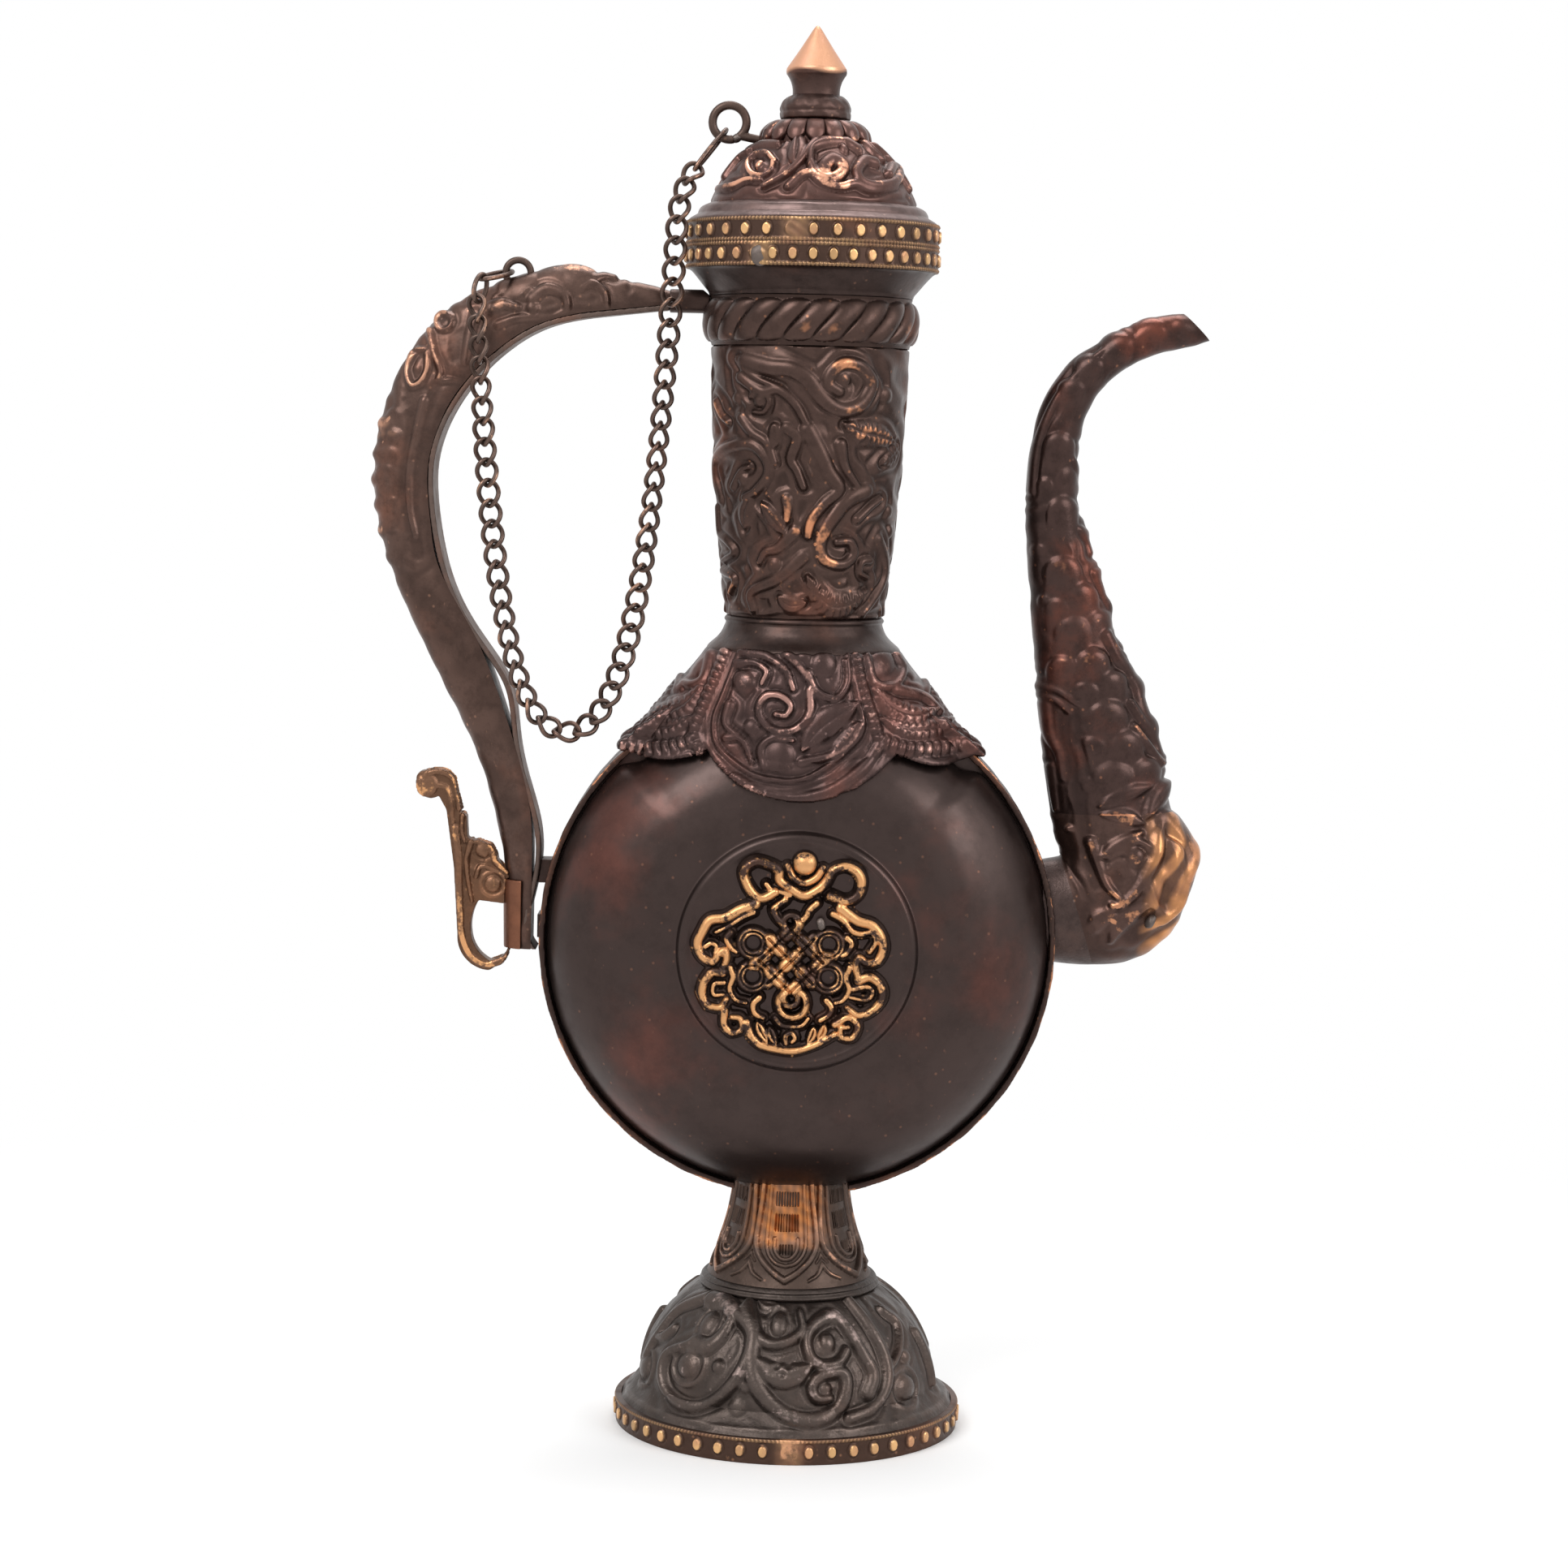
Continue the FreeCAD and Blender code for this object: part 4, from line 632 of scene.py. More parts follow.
CAST = aged_metal("cast_brass", (118, 86, 66), (146, 100, 72), (212, 156, 108),
                  wear=0.55, rough=0.34, blotch=90.0, grain=0.1, mottle=0.5)
STRAP = aged_metal("copper_strap", (142, 94, 72), (164, 108, 80), (208, 150, 116),
                   wear=0.5, rough=0.32, blotch=90.0, grain=0.04)
PALE = aged_metal("pale_strip", (118, 100, 92), (140, 98, 80), (176, 148, 130),
                  wear=0.4, rough=0.4, blotch=110.0, grain=0.04)
INSIDE = aged_metal("inside_dark", (40, 31, 28), (60, 40, 34), (90, 62, 50),
                    wear=0.1, rough=0.5, blotch=60.0, grain=0.05)


# Turned pieces

def smooth_radius(profile):
    """Radius at a height on a turned profile."""
    line, _ = spaced(profile, 0.2)
    order = np.argsort(line[:, 1])
    return lambda height: float(np.interp(height, line[order, 1], line[order, 0]))


def stroke_sheet(relief, strokes, place, broad=1.0, lift=1.0):
    """Draws a table of strokes; each is a kind, its points and its sizes, the width first."""
    for kind, points, *sizes in strokes:
        points = place(points)
        sizes[0] = sizes[0] * broad
        sizes[1] = sizes[1] * lift
        if kind == "stroke" and len(sizes) == 3:
            sizes[2] = sizes[2] * broad
        if kind == "boss":
            relief.boss(points[0], *sizes)
        elif kind == "leaf":
            relief.leaf(points, *sizes)
        elif kind == "cable":
            relief.stroke(points, sizes[0], sizes[1], None, sizes[2])
        elif kind == "scale":
            relief.scale(points[0], *sizes)
        elif kind == "pit":
            relief.pit(points[0], *sizes)
        elif kind == "cut":
            relief.cut(points, *sizes)
        else:
            relief.stroke(points, *sizes)


COPIES = 2


def round_relief(profile, strokes, drawing, depth, broad, lift, flow, soft):
    """Relief drawn over the front of a turned surface and repeated on its back.

    broad and lift scale the widths and heights of the strokes; places as high as depth are fully worn.
    """
    radius_at = smooth_radius(profile)
    middle = np.mean([p[0] for p in profile])

    def relief(angles, heights, runs):
        total = np.zeros(angles.shape)
        for copy in range(COPIES):
            turned_angle = (angles - copy * TURN / COPIES + math.pi) % TURN - math.pi
            sheet = Relief(turned_angle * middle, heights)

            def place(points):
                return [(angle * middle, height) for angle, height in seen_round(points, drawing, radius_at)]
            stroke_sheet(sheet, strokes, place, broad, lift)
            sheet.flow(*flow)
            total = np.where(np.abs(turned_angle) < math.pi / COPIES, sheet.height, total)
        total = blurred(total, soft)
        return total, np.clip(total / depth, 0, 1), None
    return relief


lid_dome_profile = arc((13.0, SKIRT_TOP), (7.6, DOME_CROWN), (11.0, SKIRT_TOP + 3.8)) + [(2.0, DOME_CROWN)]
lid_dome_strokes = [
    ("stroke", ((482, 640), (450, 608), (400, 612), (368, 650), (384, 694), (432, 704), (470, 676),
               (476, 642)), 0.5, 0.6), ("boss", ((416, 656),), 0.42, 0.5),
    ("stroke", ((262, 706), (280, 655), (330, 622), (372, 600)), 0.9, 0.6, 0.5),
    ("stroke", ((340, 590), (430, 566), (500, 566)), 0.9, 0.5, 0.5),
    ("stroke", ((230, 760), (300, 745), (360, 720), (420, 722)), 0.8, 0.5, 0.4),
    ("leaf", ((586, 536), (582, 590), (574, 652)), 2.0, 0.8),
    ("stroke", ((436, 752), (520, 704), (590, 644), (634, 582), (668, 548)), 0.5, 0.7, 0.9),
    ("stroke", ((540, 750), (590, 704), (636, 690), (684, 728), (760, 752), (830, 738), (900, 764),
               (1000, 742)), 0.7, 0.6, 0.9),
    ("stroke", ((636, 650), (646, 590), (696, 562), (766, 556), (838, 592)), 0.6, 0.8, 1.1),
    ("stroke", ((638, 650), (660, 694), (716, 718), (768, 694), (772, 656), (732, 634), (700, 658),
               (694, 688)), 0.8, 0.8, 1.3),
    ("stroke", ((912, 650), (868, 642), (838, 680), (850, 724), (900, 748), (960, 746), (1010, 722),
               (1022, 682), (990, 668), (972, 700)), 1.0, 0.8, 0.8),
    ("leaf", ((858, 560), (900, 596), (952, 646)), 1.4, 0.7),
    ("stroke", ((930, 568), (1000, 606), (1034, 652)), 1.0, 0.6, 0.7),
    ("stroke", ((1040, 640), (1078, 700), (1086, 764)), 1.2, 0.6, 0.8), ("boss", ((780, 590),), 0.5, 0.6),
    ("boss", ((640, 610),), 0.4, 0.5),
]

lid_dome_back = [(12.2, SKIRT_TOP), (10.2, SKIRT_TOP + 3.4), (7.2, DOME_CROWN - SHEET),
                 (2.0, DOME_CROWN - SHEET)]
lid_dome_relief = round_relief(lid_dome_profile, lid_dome_strokes, LID_DRAWING, depth=0.7,
                               broad=1.45, lift=1.2, flow=(0.22, 2.1), soft=1)
lid_dome = turned("lid_dome_chasing", lid_dome_profile, lid_dome_back, lid_dome_relief, 720)
set_in_place(lid_dome, "lid", RUBBED_CHASING, "dark_copper", "lid_dome")


# Half sizes of a bead along and up the strip, its rise, and the pitch of the milled edges
BEAD, BEAD_RISE, MILLED_PITCH = (0.55, 0.74), 0.35, 0.52


def beaded(count, height, radius, edges, joint):
    """Oval beads between milled edges; the strip's ends meet in a soldered joint."""
    def relief(angles, heights, runs):
        low = heights.min()
        up = heights - low
        cell = TURN / count
        off = (angles - cell * np.round(angles / cell)) * radius
        oval = np.hypot(off / BEAD[0], (up - height / 2) / BEAD[1])
        bead = np.clip((1.15 - oval) / 0.3, 0, 1)
        moat = np.exp(-((oval - 1.4) / 0.18) ** 2) * 0.07
        grain = 0.5 + 0.5 * np.cos(angles * round(radius * TURN / MILLED_PITCH))
        milled = np.zeros(angles.shape)
        for level in edges:
            milled += np.clip(1 - np.abs(up - level) / 0.24, 0, 1) ** 0.5 * (0.35 + 0.65 * grain)
        away = (angles - joint + math.pi) % TURN - math.pi
        patch = np.exp(-np.abs(away * radius / 1.5) ** 3)
        rise = (BEAD_RISE * bead - moat) * (1 - patch) + 0.2 * milled * (1 - 0.7 * patch)
        lumps = 0.7 + 0.3 * np.sin(away * 40 + up * 2.0) * np.sin(up * 3.1 + away * 17)
        rise += patch * 0.26 * np.sin(math.pi * np.clip(up / height, 0, 1)) ** 0.5 * lumps
        rubbed = 0.55 + 0.45 * np.sin(angles * 5 + 0.8) * np.sin(angles * 11 + radius)
        shine = (np.clip(bead * 1.6 - 0.5, 0, 1) * (1 - patch) * (0.45 + 0.55 * rubbed)
                 + 0.3 * milled + 0.3 * patch * lumps)
        return rise, np.clip(0.45 * milled + bead + patch, 0, 1), np.clip(shine, 0, 1)
    return relief


def band(name, low, height, radius, count, edges, joint, body):
    inner, top = radius - BAND_SHEET, low + height
    profile = [(inner, low), (radius, low), (radius, top), (inner, top)]
    back = [(inner - 0.02, low + 0.05), (inner - 0.02, top - 0.05)]
    thing = turned(name + "_beads", profile, back, beaded(count, height, radius, edges, joint), 1320, 0.1)
    return set_in_place(thing, body, BAND, "bright_brass", name)


band("lid_rim_band", LID_BASE, BAND_HEIGHT, BAND_RADIUS, 34, (0.2, 2.7), -0.14, "lid")
band("mouth_band", MOUTH_TOP - BAND_HEIGHT, BAND_HEIGHT, BAND_RADIUS, 40, (0.2, 2.7), -0.43, "vessel")
band("foot_rim_band", 0.0, FOOT_BAND_HEIGHT, FOOT_RADIUS, 48, (2.95,), 0.02, "vessel")


PETALS, GADROONS = 16, 22


def petals(angles, heights, runs):
    """Rounded petals with scalloped lower edges."""
    cell = TURN / PETALS
    off = (angles - cell * np.round(angles / cell)) / cell * 2
    up = (heights - DOME_CROWN) / (PETAL_TOP - DOME_CROWN)
    edge = 0.05 + 0.32 * off ** 2
    dome = np.clip(1 - off ** 2, 0, 1) ** 0.5
    drop = np.clip((up - edge) / 0.12, 0, 1) ** 0.5
    rise = 0.75 * dome * drop * np.clip((1.0 - up) / 0.5, 0, 1) ** 0.6
    return rise - 0.25, np.clip(dome * drop * (0.4 + 0.6 * (1 - up)), 0, 1), None


petal_profile = arc((6.7, DOME_CROWN), (5.2, PETAL_TOP), (6.5, DOME_CROWN + 1.7)) + [(1.4, PETAL_TOP)]
petal_back = [(6.2, DOME_CROWN + 0.02), (1.4, DOME_CROWN + 0.02)]
petal_ring = turned("lid_petals", petal_profile, petal_back, petals, 640)
set_in_place(petal_ring, "lid", RUBBED_CHASING, "dark_copper", "lid_petal_ring")


def cone_shine(angles, heights, runs):
    """Bright above a wavy line low on the cone."""
    level = np.zeros(angles.shape)
    line = FINIAL_BASE + 2.7 - 0.25 * np.sin(angles * 3)
    return level, level, np.clip((heights - line) / 0.5, 0, 1)


finial_profile = ([(1.2, FINIAL_BASE), (3.0, FINIAL_BASE)]
                  + arc((3.0, FINIAL_BASE), (3.8, FINIAL_BASE + 2.6), (3.05, FINIAL_BASE + 1.0), 10)
                  + [(3.85, FINIAL_BASE + 2.9), (3.8, FINIAL_BASE + 3.3), (2.1, TIP - 2.95),
                     (0.5, TIP - 0.45), (0.2, TIP - 0.1), (0.02, TIP - 0.01)])
finial_back = [(1.2, DOME_CROWN - 0.5), (1.15, DOME_CROWN - 1.6), (0.02, DOME_CROWN - 1.6)]
finial = turned("finial_cone", finial_profile, finial_back, cone_shine, 160)
set_in_place(finial, "lid", FINIAL, "bright_brass", "finial")


def gadroons(angles, heights, runs):
    """Slanting flutes with rounded ends, leaning to the right at the top."""
    up = (heights - NECK_TOP) / (ROPE_TOP - NECK_TOP)
    bent = 0.35 * (up - 0.5) + 0.25 * np.sin((up - 0.5) * math.pi)
    phase = angles * GADROONS / TURN - bent * 1.35
    off = (phase - np.round(phase)) * 2
    body = np.clip(1 - off ** 2, 0, 1) ** 0.45
    ends = np.clip((1 - (np.abs(up - 0.5) * 2.3) ** 2 - 0.25 * off ** 2), 0, 1) ** 0.5
    rise = 0.85 * body * ends
    return rise - 0.1, np.clip(body * ends * (1.2 - up), 0, 1), None


rope_profile = ([(12.6, NECK_TOP), (12.9, NECK_TOP + 0.5)]
                + arc((12.9, NECK_TOP + 0.6), (12.9, ROPE_TOP - 0.6), (13.15, (NECK_TOP + ROPE_TOP) / 2))
                + [(12.9, ROPE_TOP - 0.4), (12.9, ROPE_TOP)])
rope = turned("neck_gadroons", rope_profile, [(11.6, NECK_TOP), (11.6, ROPE_TOP)], gadroons, 880)
set_in_place(rope, "vessel", CHASED, "dark_copper", "neck_rope_band")


neck_profile = arc((9.9, NECK_FOOT), (12.3, NECK_TOP), (11.4, NECK_FOOT + 15.2))
neck_strokes = [
    ("stroke", ((400, 20), (520, 50), (620, 60), (700, 110), (760, 190), (830, 250), (900, 260), (970, 220),
               (1010, 130), (960, 50), (880, 30), (820, 70), (800, 130), (850, 170)), 1.5, 0.8, 1.0),
    ("boss", ((870, 110),), 0.7, 0.6),
    ("stroke", ((370, 10), (400, 60), (470, 110), (570, 150)), 0.9, 0.6, 0.5),
    ("stroke", ((380, 100), (480, 170), (560, 160), (640, 230), (690, 320)), 1.1, 0.7, 0.7),
    ("boss", ((360, 200),), 0.5, 0.5), ("boss", ((470, 215),), 0.55, 0.55),
    ("stroke", ((430, 190), (470, 165), (515, 210), (490, 270), (440, 270)), 0.6, 0.55, 0.4),
    ("stroke", ((260, 220), (290, 290), (320, 320)), 0.8, 0.6, 0.6),
    ("stroke", ((380, 300), (430, 370), (500, 420), (540, 520)), 1.0, 0.65, 0.7),
    ("stroke", ((290, 700), (255, 600), (265, 500), (330, 440), (430, 430), (500, 500), (510, 580),
               (450, 660), (400, 690)), 1.2, 0.75, 0.8),
    ("stroke", ((340, 640), (380, 560), (420, 540)), 0.7, 0.55, 0.5), ("boss", ((385, 600),), 0.6, 0.5),
    ("leaf", ((540, 330), (545, 380), (540, 440)), 1.3, 0.6),
    ("stroke", ((600, 350), (650, 400), (620, 500), (650, 560), (680, 640)), 1.1, 0.7, 0.7),
    ("stroke", ((700, 360), (760, 470), (800, 560), (850, 650), (780, 720), (720, 800), (700, 880)),
               1.4, 0.8, 0.8),
    ("leaf", ((880, 330), (960, 370), (1040, 385), (1110, 420)), 2.2, 0.75, 0.35, 0.75),
    ("leaf", ((1130, 430), (1110, 480), (1060, 520)), 1.6, 0.6, 0.3, 0.7),
    ("boss", ((1080, 190),), 0.7, 0.6), ("stroke", ((860, 430), (880, 540), (940, 640)), 1.1, 0.7, 0.6),
    ("stroke", ((980, 660), (900, 700), (830, 780), (770, 880), (760, 960), (800, 1010), (870, 1020),
               (920, 970), (900, 910), (840, 910)), 1.4, 0.8, 0.8),
    ("stroke", ((940, 800), (1000, 740), (1050, 700)), 0.8, 0.6, 0.6),
    ("stroke", ((1040, 900), (1070, 1000), (1060, 1100), (1000, 1210), (960, 1260)), 1.2, 0.7, 0.8),
    ("stroke", ((1000, 1000), (960, 1010), (950, 1060), (985, 1085)), 0.8, 0.6, 0.5),
    ("leaf", ((700, 1080), (750, 1170), (820, 1225), (900, 1210), (980, 1150)), 2.4, 0.75, 0.2, 0.8),
    ("pit", ((770, 1140),), 0.3, 0.3), ("leaf", ((430, 690), (400, 760), (400, 840)), 1.6, 0.6),
    ("leaf", ((480, 720), (540, 800), (590, 865)), 1.5, 0.65),
    ("stroke", ((600, 700), (605, 750), (600, 800)), 1.1, 0.7, 0.7),
    ("stroke", ((680, 980), (560, 1090), (430, 1160), (440, 1240)), 1.3, 0.7, 0.8),
    ("stroke", ((640, 860), (560, 940), (500, 960), (470, 1010)), 1.2, 0.65, 0.6),
    ("stroke", ((250, 740), (260, 860), (310, 900), (350, 960), (300, 1000)), 1.0, 0.65, 0.6),
    ("stroke", ((280, 1050), (350, 1090), (330, 1160)), 0.9, 0.6, 0.5),
    ("leaf", ((560, 1180), (620, 1220), (690, 1210)), 1.6, 0.6), ("boss", ((540, 1030),), 0.7, 0.55),
    ("boss", ((1090, 760),), 0.6, 0.55), ("boss", ((1095, 860),), 0.6, 0.55),
    ("boss", ((705, 960),), 0.6, 0.5),
    ("stroke", ((330, 1285), (450, 1300), (620, 1305), (800, 1300), (1035, 1280)), 0.6, 0.3),
]
neck_back = [(9.1, NECK_FOOT), (10.6, NECK_FOOT + 15), (11.5, NECK_TOP)]
neck_relief = round_relief(neck_profile, neck_strokes, NECK_DRAWING, depth=0.8,
                           broad=1.6, lift=1.2, flow=(0.4, 2.3), soft=2)
neck = turned("neck_chasing", neck_profile, neck_back, neck_relief, 640, 0.13)
set_in_place(neck, "vessel", CHASED, "dark_copper", "neck_tube")


STEM_LEAVES = 6
stem_profile = arc((10.7, FOOT_RING_TOP), (7.1, STEM_TOP), (8.45, FOOT_RING_TOP + 5.1))


def both_ways(strokes, total=0.0):
    """The strokes and their mirror images; a point and its image add up to the total across."""
    images = [(kind, tuple((total - x, y) for x, y in points), *sizes) for kind, points, *sizes in strokes]
    return strokes + images


leaf_strokes = both_ways([
    ("stroke", ((0.0, 0.9), (1.6, 1.9), (3.2, 3.4), (3.95, 5.2), (3.85, 8.0), (3.35, 12.0), (3.05, 17.0)),
               0.9, 0.55, 0.7),
    ("stroke", ((0.0, 2.6), (1.3, 3.0), (2.3, 4.2), (2.55, 6.0), (2.45, 9.0), (2.2, 13.0), (2.0, 17.0)),
               0.5, 0.35), ("stroke", ((1.5, 5.9), (1.4, 4.5), (0.7, 3.6), (0.0, 3.4)), 0.5, 0.35),
    ("stroke", ((4.9, 2.9), (4.2, 1.6), (3.0, 0.9)), 0.6, 0.35, 0.4),
    ("stroke", ((4.9, 4.9), (4.5, 3.7), (4.0, 3.0)), 0.4, 0.25, 0.3),
])
for level, rows, reach in ((4.6, 2, 0.5), (7.9, 4, 1.0), (10.9, 4, 0.8), (14.3, 4, 1.0)):
    for tick in range(-rows, rows + 1):
        side = tick * 0.38
        leaf_strokes.append(("cut", ((side, level - reach), (side * 0.97, level + reach)), 0.26, 0.28))


def stem_relief(angles, heights, runs):
    """Lotus leaves with raised rims and rows of short chisel cuts."""
    turn = TURN / STEM_LEAVES
    lean = angles + 0.06
    off = lean - turn * np.round(lean / turn)
    sheet = Relief(off * np.interp(heights, [FOOT_RING_TOP, FOOT_RING_TOP + 5, STEM_TOP], [10.2, 8.4, 6.9]),
                   heights - FOOT_RING_TOP)
    stroke_sheet(sheet, leaf_strokes, lambda points: points)
    front = np.exp(-((lean / 0.62) ** 4)) * np.clip((heights - FOOT_RING_TOP - 4.4) / 1.2, 0, 1)
    fleck = 0.5 + 0.5 * np.sin(angles * 31 + heights * 2.1) * np.sin(heights * 1.7 - angles * 17)
    shine = np.clip(front * (0.35 + 0.65 * fleck) * 0.9, 0, 1)
    return sheet.height, np.clip(sheet.height / 0.5, 0, 1), shine


stem_back = [(9.9, FOOT_RING_TOP), (7.65, FOOT_RING_TOP + 5.1), (6.3, STEM_TOP)]
stem = turned("lotus_stem", stem_profile, stem_back, stem_relief, 560)
set_in_place(stem, "vessel", LOTUS, "dark_copper", "foot_stem")


foot_dome_profile = ([(21.55, 2.25), (21.55, 3.0), (19.2, 5.8)]
                     + arc((19.2, 5.8), (11.4, FOOT_DOME_TOP), (17.2, 12.2))[1:])
foot_dome_strokes = [
    ("stroke", ((410, 640), (480, 660), (560, 740), (580, 830), (530, 960), (440, 1060), (330, 1100),
               (240, 1050), (205, 960), (230, 870), (330, 830)), 1.5, 1.0, 1.2),
    ("boss", ((310, 915),), 1.5, 0.7, 0.55), ("boss", ((440, 925),), 0.75, 0.7),
    ("stroke", ((340, 830), (400, 840), (460, 790), (500, 720), (480, 690)), 2.2, 0.9, 1.0),
    ("boss", ((400, 740),), 1.2, 0.7, 0.4),
    ("stroke", ((400, 630), (280, 680), (190, 780), (130, 880)), 1.3, 0.7, 1.0),
    ("stroke", ((250, 760), (210, 790), (180, 800)), 1.2, 0.6, 0.8), ("boss", ((130, 925),), 1.4, 0.7, 0.5),
    ("boss", ((700, 745),), 1.1, 0.75, 0.3),
    ("stroke", ((580, 680), (600, 780), (660, 830), (740, 820), (800, 770), (790, 700)), 1.4, 0.85, 0.9),
    ("stroke", ((560, 680), (590, 780), (580, 900), (600, 1000), (680, 1100), (780, 1150), (880, 1150),
               (960, 1090), (985, 990), (960, 950), (880, 965), (840, 1010), (860, 1060), (910, 1060)),
               2.1, 1.05, 1.1), ("boss", ((895, 1020),), 0.7, 0.7),
    ("stroke", ((1080, 1040), (1100, 960), (1060, 880), (990, 770), (930, 710), (860, 740), (820, 800),
               (830, 880), (880, 920), (950, 910), (985, 860)), 1.6, 1.0, 1.1),
    ("boss", ((905, 820),), 0.95, 0.75),
    ("leaf", ((600, 890), (680, 960), (760, 965), (840, 920)), 2.8, 0.95, 0.1),
    ("pit", ((690, 930),), 0.35, 0.35), ("pit", ((740, 925),), 0.35, 0.35),
    ("pit", ((715, 960),), 0.3, 0.35),
    ("stroke", ((1000, 650), (1080, 750), (1150, 880), (1160, 1000), (1100, 1100), (1000, 1150)),
               1.7, 0.85, 1.2), ("boss", ((1240, 1015),), 1.5, 0.75, 0.5),
    ("stroke", ((1140, 690), (1200, 740), (1210, 850), (1180, 920)), 1.2, 0.75, 0.8),
    ("stroke", ((1280, 780), (1340, 900), (1350, 1000)), 1.4, 0.8, 0.9),
    ("boss", ((560, 1010),), 0.8, 0.55), ("boss", ((520, 1100),), 0.9, 0.5),
    ("boss", ((1240, 880),), 0.8, 0.6), ("leaf", ((610, 640), (650, 660), (700, 665)), 1.2, 0.5),
]
foot_relief = round_relief(foot_dome_profile, foot_dome_strokes, STEM_DRAWING, depth=0.95,
                           broad=1.15, lift=1.1, flow=(0.2, 2.6, 0.9), soft=3)


def foot_dome_relief(angles, heights, runs):
    """The drawn relief with a raised line and a slight wave near the dome's lower edge."""
    rise, worn, bright = foot_relief(angles, heights, runs)
    lip = np.exp(-((heights - 3.9) / 0.28) ** 2) * 0.16
    wave = 0.05 * np.sin(angles * 9 + 0.7) * np.clip(1 - np.abs(heights - 4.6) / 1.2, 0, 1)
    return rise + lip + wave, np.clip(worn + lip * 2, 0, 1), bright


foot_dome_back = [(20.8, 2.3), (18.5, 5.3), (16.5, 11.8), (10.7, FOOT_DOME_TOP)]
foot_dome = turned("foot_dome_chasing", foot_dome_profile, foot_dome_back, foot_dome_relief, 960, 0.13)
set_in_place(foot_dome, "vessel", MATTED, "dark_copper", "foot_dome")


# Plain turned mouldings

def uneven(amount):
    """Slight waviness of hand-raised sheet."""
    def relief(angles, heights, runs):
        wave = (np.sin(angles * 3 + heights * 0.6) + np.sin(angles * 7 - heights * 1.3 + 1.1)
                + 0.5 * np.sin(angles * 17 + heights * 2.7))
        return amount * wave / 2.5, np.zeros(angles.shape), None
    return relief


def moulding(name, node, body, material, profile, back, amount=0.05, around=360):
    thing = turned(name, rounded(profile), back, uneven(amount), around)
    return set_in_place(thing, body, material, "dark_copper", node)


moulding("foot_neck_ring", "foot_ring", "vessel", MATTED,
         [(11.0, FOOT_DOME_TOP), (11.45, FOOT_DOME_TOP + 0.02), (11.72, FOOT_DOME_TOP + 0.4),
          (11.45, FOOT_DOME_TOP + 0.75), (11.35, FOOT_DOME_TOP + 0.9), (11.45, FOOT_DOME_TOP + 1.1),
          (11.1, FOOT_RING_TOP - 0.1), (10.8, FOOT_RING_TOP)],
         [(9.9, FOOT_DOME_TOP + 0.05), (9.9, FOOT_RING_TOP - 0.05)])
moulding("neck_foot_moulding", "neck_base_collar", "vessel", PLAIN,
         [(12.45, NECK_FOOT - 4.3), (12.2, NECK_FOOT - 3.9), (11.2, NECK_FOOT - 3.0),
          (10.55, NECK_FOOT - 2.2), (10.2, NECK_FOOT - 1.4), (10.05, NECK_FOOT - 0.9),
          (10.25, NECK_FOOT - 0.55), (10.1, NECK_FOOT - 0.2), (9.8, NECK_FOOT)],
         [(8.05, NECK_FOOT - 4.25), (8.05, NECK_FOOT - 0.02)])
moulding("mouth_cove", "mouth_collar", "vessel", PLAIN,
         [(12.6, ROPE_TOP), (12.95, ROPE_TOP + 0.1), (13.1, ROPE_TOP + 0.5), (13.5, ROPE_TOP + 1.0),
          (14.5, ROPE_TOP + 2.2), (15.3, ROPE_TOP + 3.1), (15.75, ROPE_TOP + 3.42), (15.2, ROPE_TOP + 3.48)],
         [(12.2, ROPE_TOP + 0.02), (13.05, ROPE_TOP + 1.4), (13.05, ROPE_TOP + 3.45)])
# The skirt's pale colour is a painted sheen in place of its reflection.
moulding("lid_shoulder", "lid_skirt", "lid", PAINTED_SHEEN,
         [(15.2, LID_BAND_TOP - 0.02), (15.7, LID_BAND_TOP), (15.75, LID_BAND_TOP + 0.25),
          (15.2, LID_BAND_TOP + 0.6), (14.7, LID_BAND_TOP + 0.9), (14.55, LID_BAND_TOP + 1.3),
          (14.2, LID_BAND_TOP + 1.8), (13.4, SKIRT_TOP - 0.1), (12.9, SKIRT_TOP)],
         [(12.95, LID_BAND_TOP), (12.3, SKIRT_TOP - 0.05)])
moulding("finial_moulding", "finial_collar", "lid", FINIAL,
         [(4.2, PETAL_TOP), (4.45, PETAL_TOP + 0.15), (4.5, PETAL_TOP + 0.7), (4.42, PETAL_TOP + 1.0),
          (4.5, PETAL_TOP + 1.3), (4.45, PETAL_TOP + 1.7), (4.15, PETAL_TOP + 2.3), (3.6, PETAL_TOP + 2.8),
          (3.0, FINIAL_BASE)], [(1.3, PETAL_TOP + 0.02), (1.3, FINIAL_BASE - 0.02)],
         0.12, 160)


# Drawn relief on pieces that are not turned: set on the front and, mirrored, on the back

def drawn_on_sides(strokes, drawing, depth, full, side_strokes=None, broad=1.0, flow=None):
    """Strokes drawn at a depth on faces that look forward or back, side strokes on the others."""
    def relief(places, normals):
        sheet = Relief(places[:, 0], places[:, 2])
        stroke_sheet(sheet, strokes, lambda points: seen(points, depth, drawing), broad)
        if flow:
            sheet.flow(*flow)
        facing = np.clip((np.abs(normals[:, 1]) - 0.12) / 0.22, 0, 1)
        rise = sheet.height * facing
        if side_strokes:
            flank = Relief(places[:, 1], places[:, 2])
            stroke_sheet(flank, side_strokes, lambda points: points)
            rise = rise + flank.height * (1 - facing)
        return rise, np.clip(rise / full, 0, 1)
    return relief


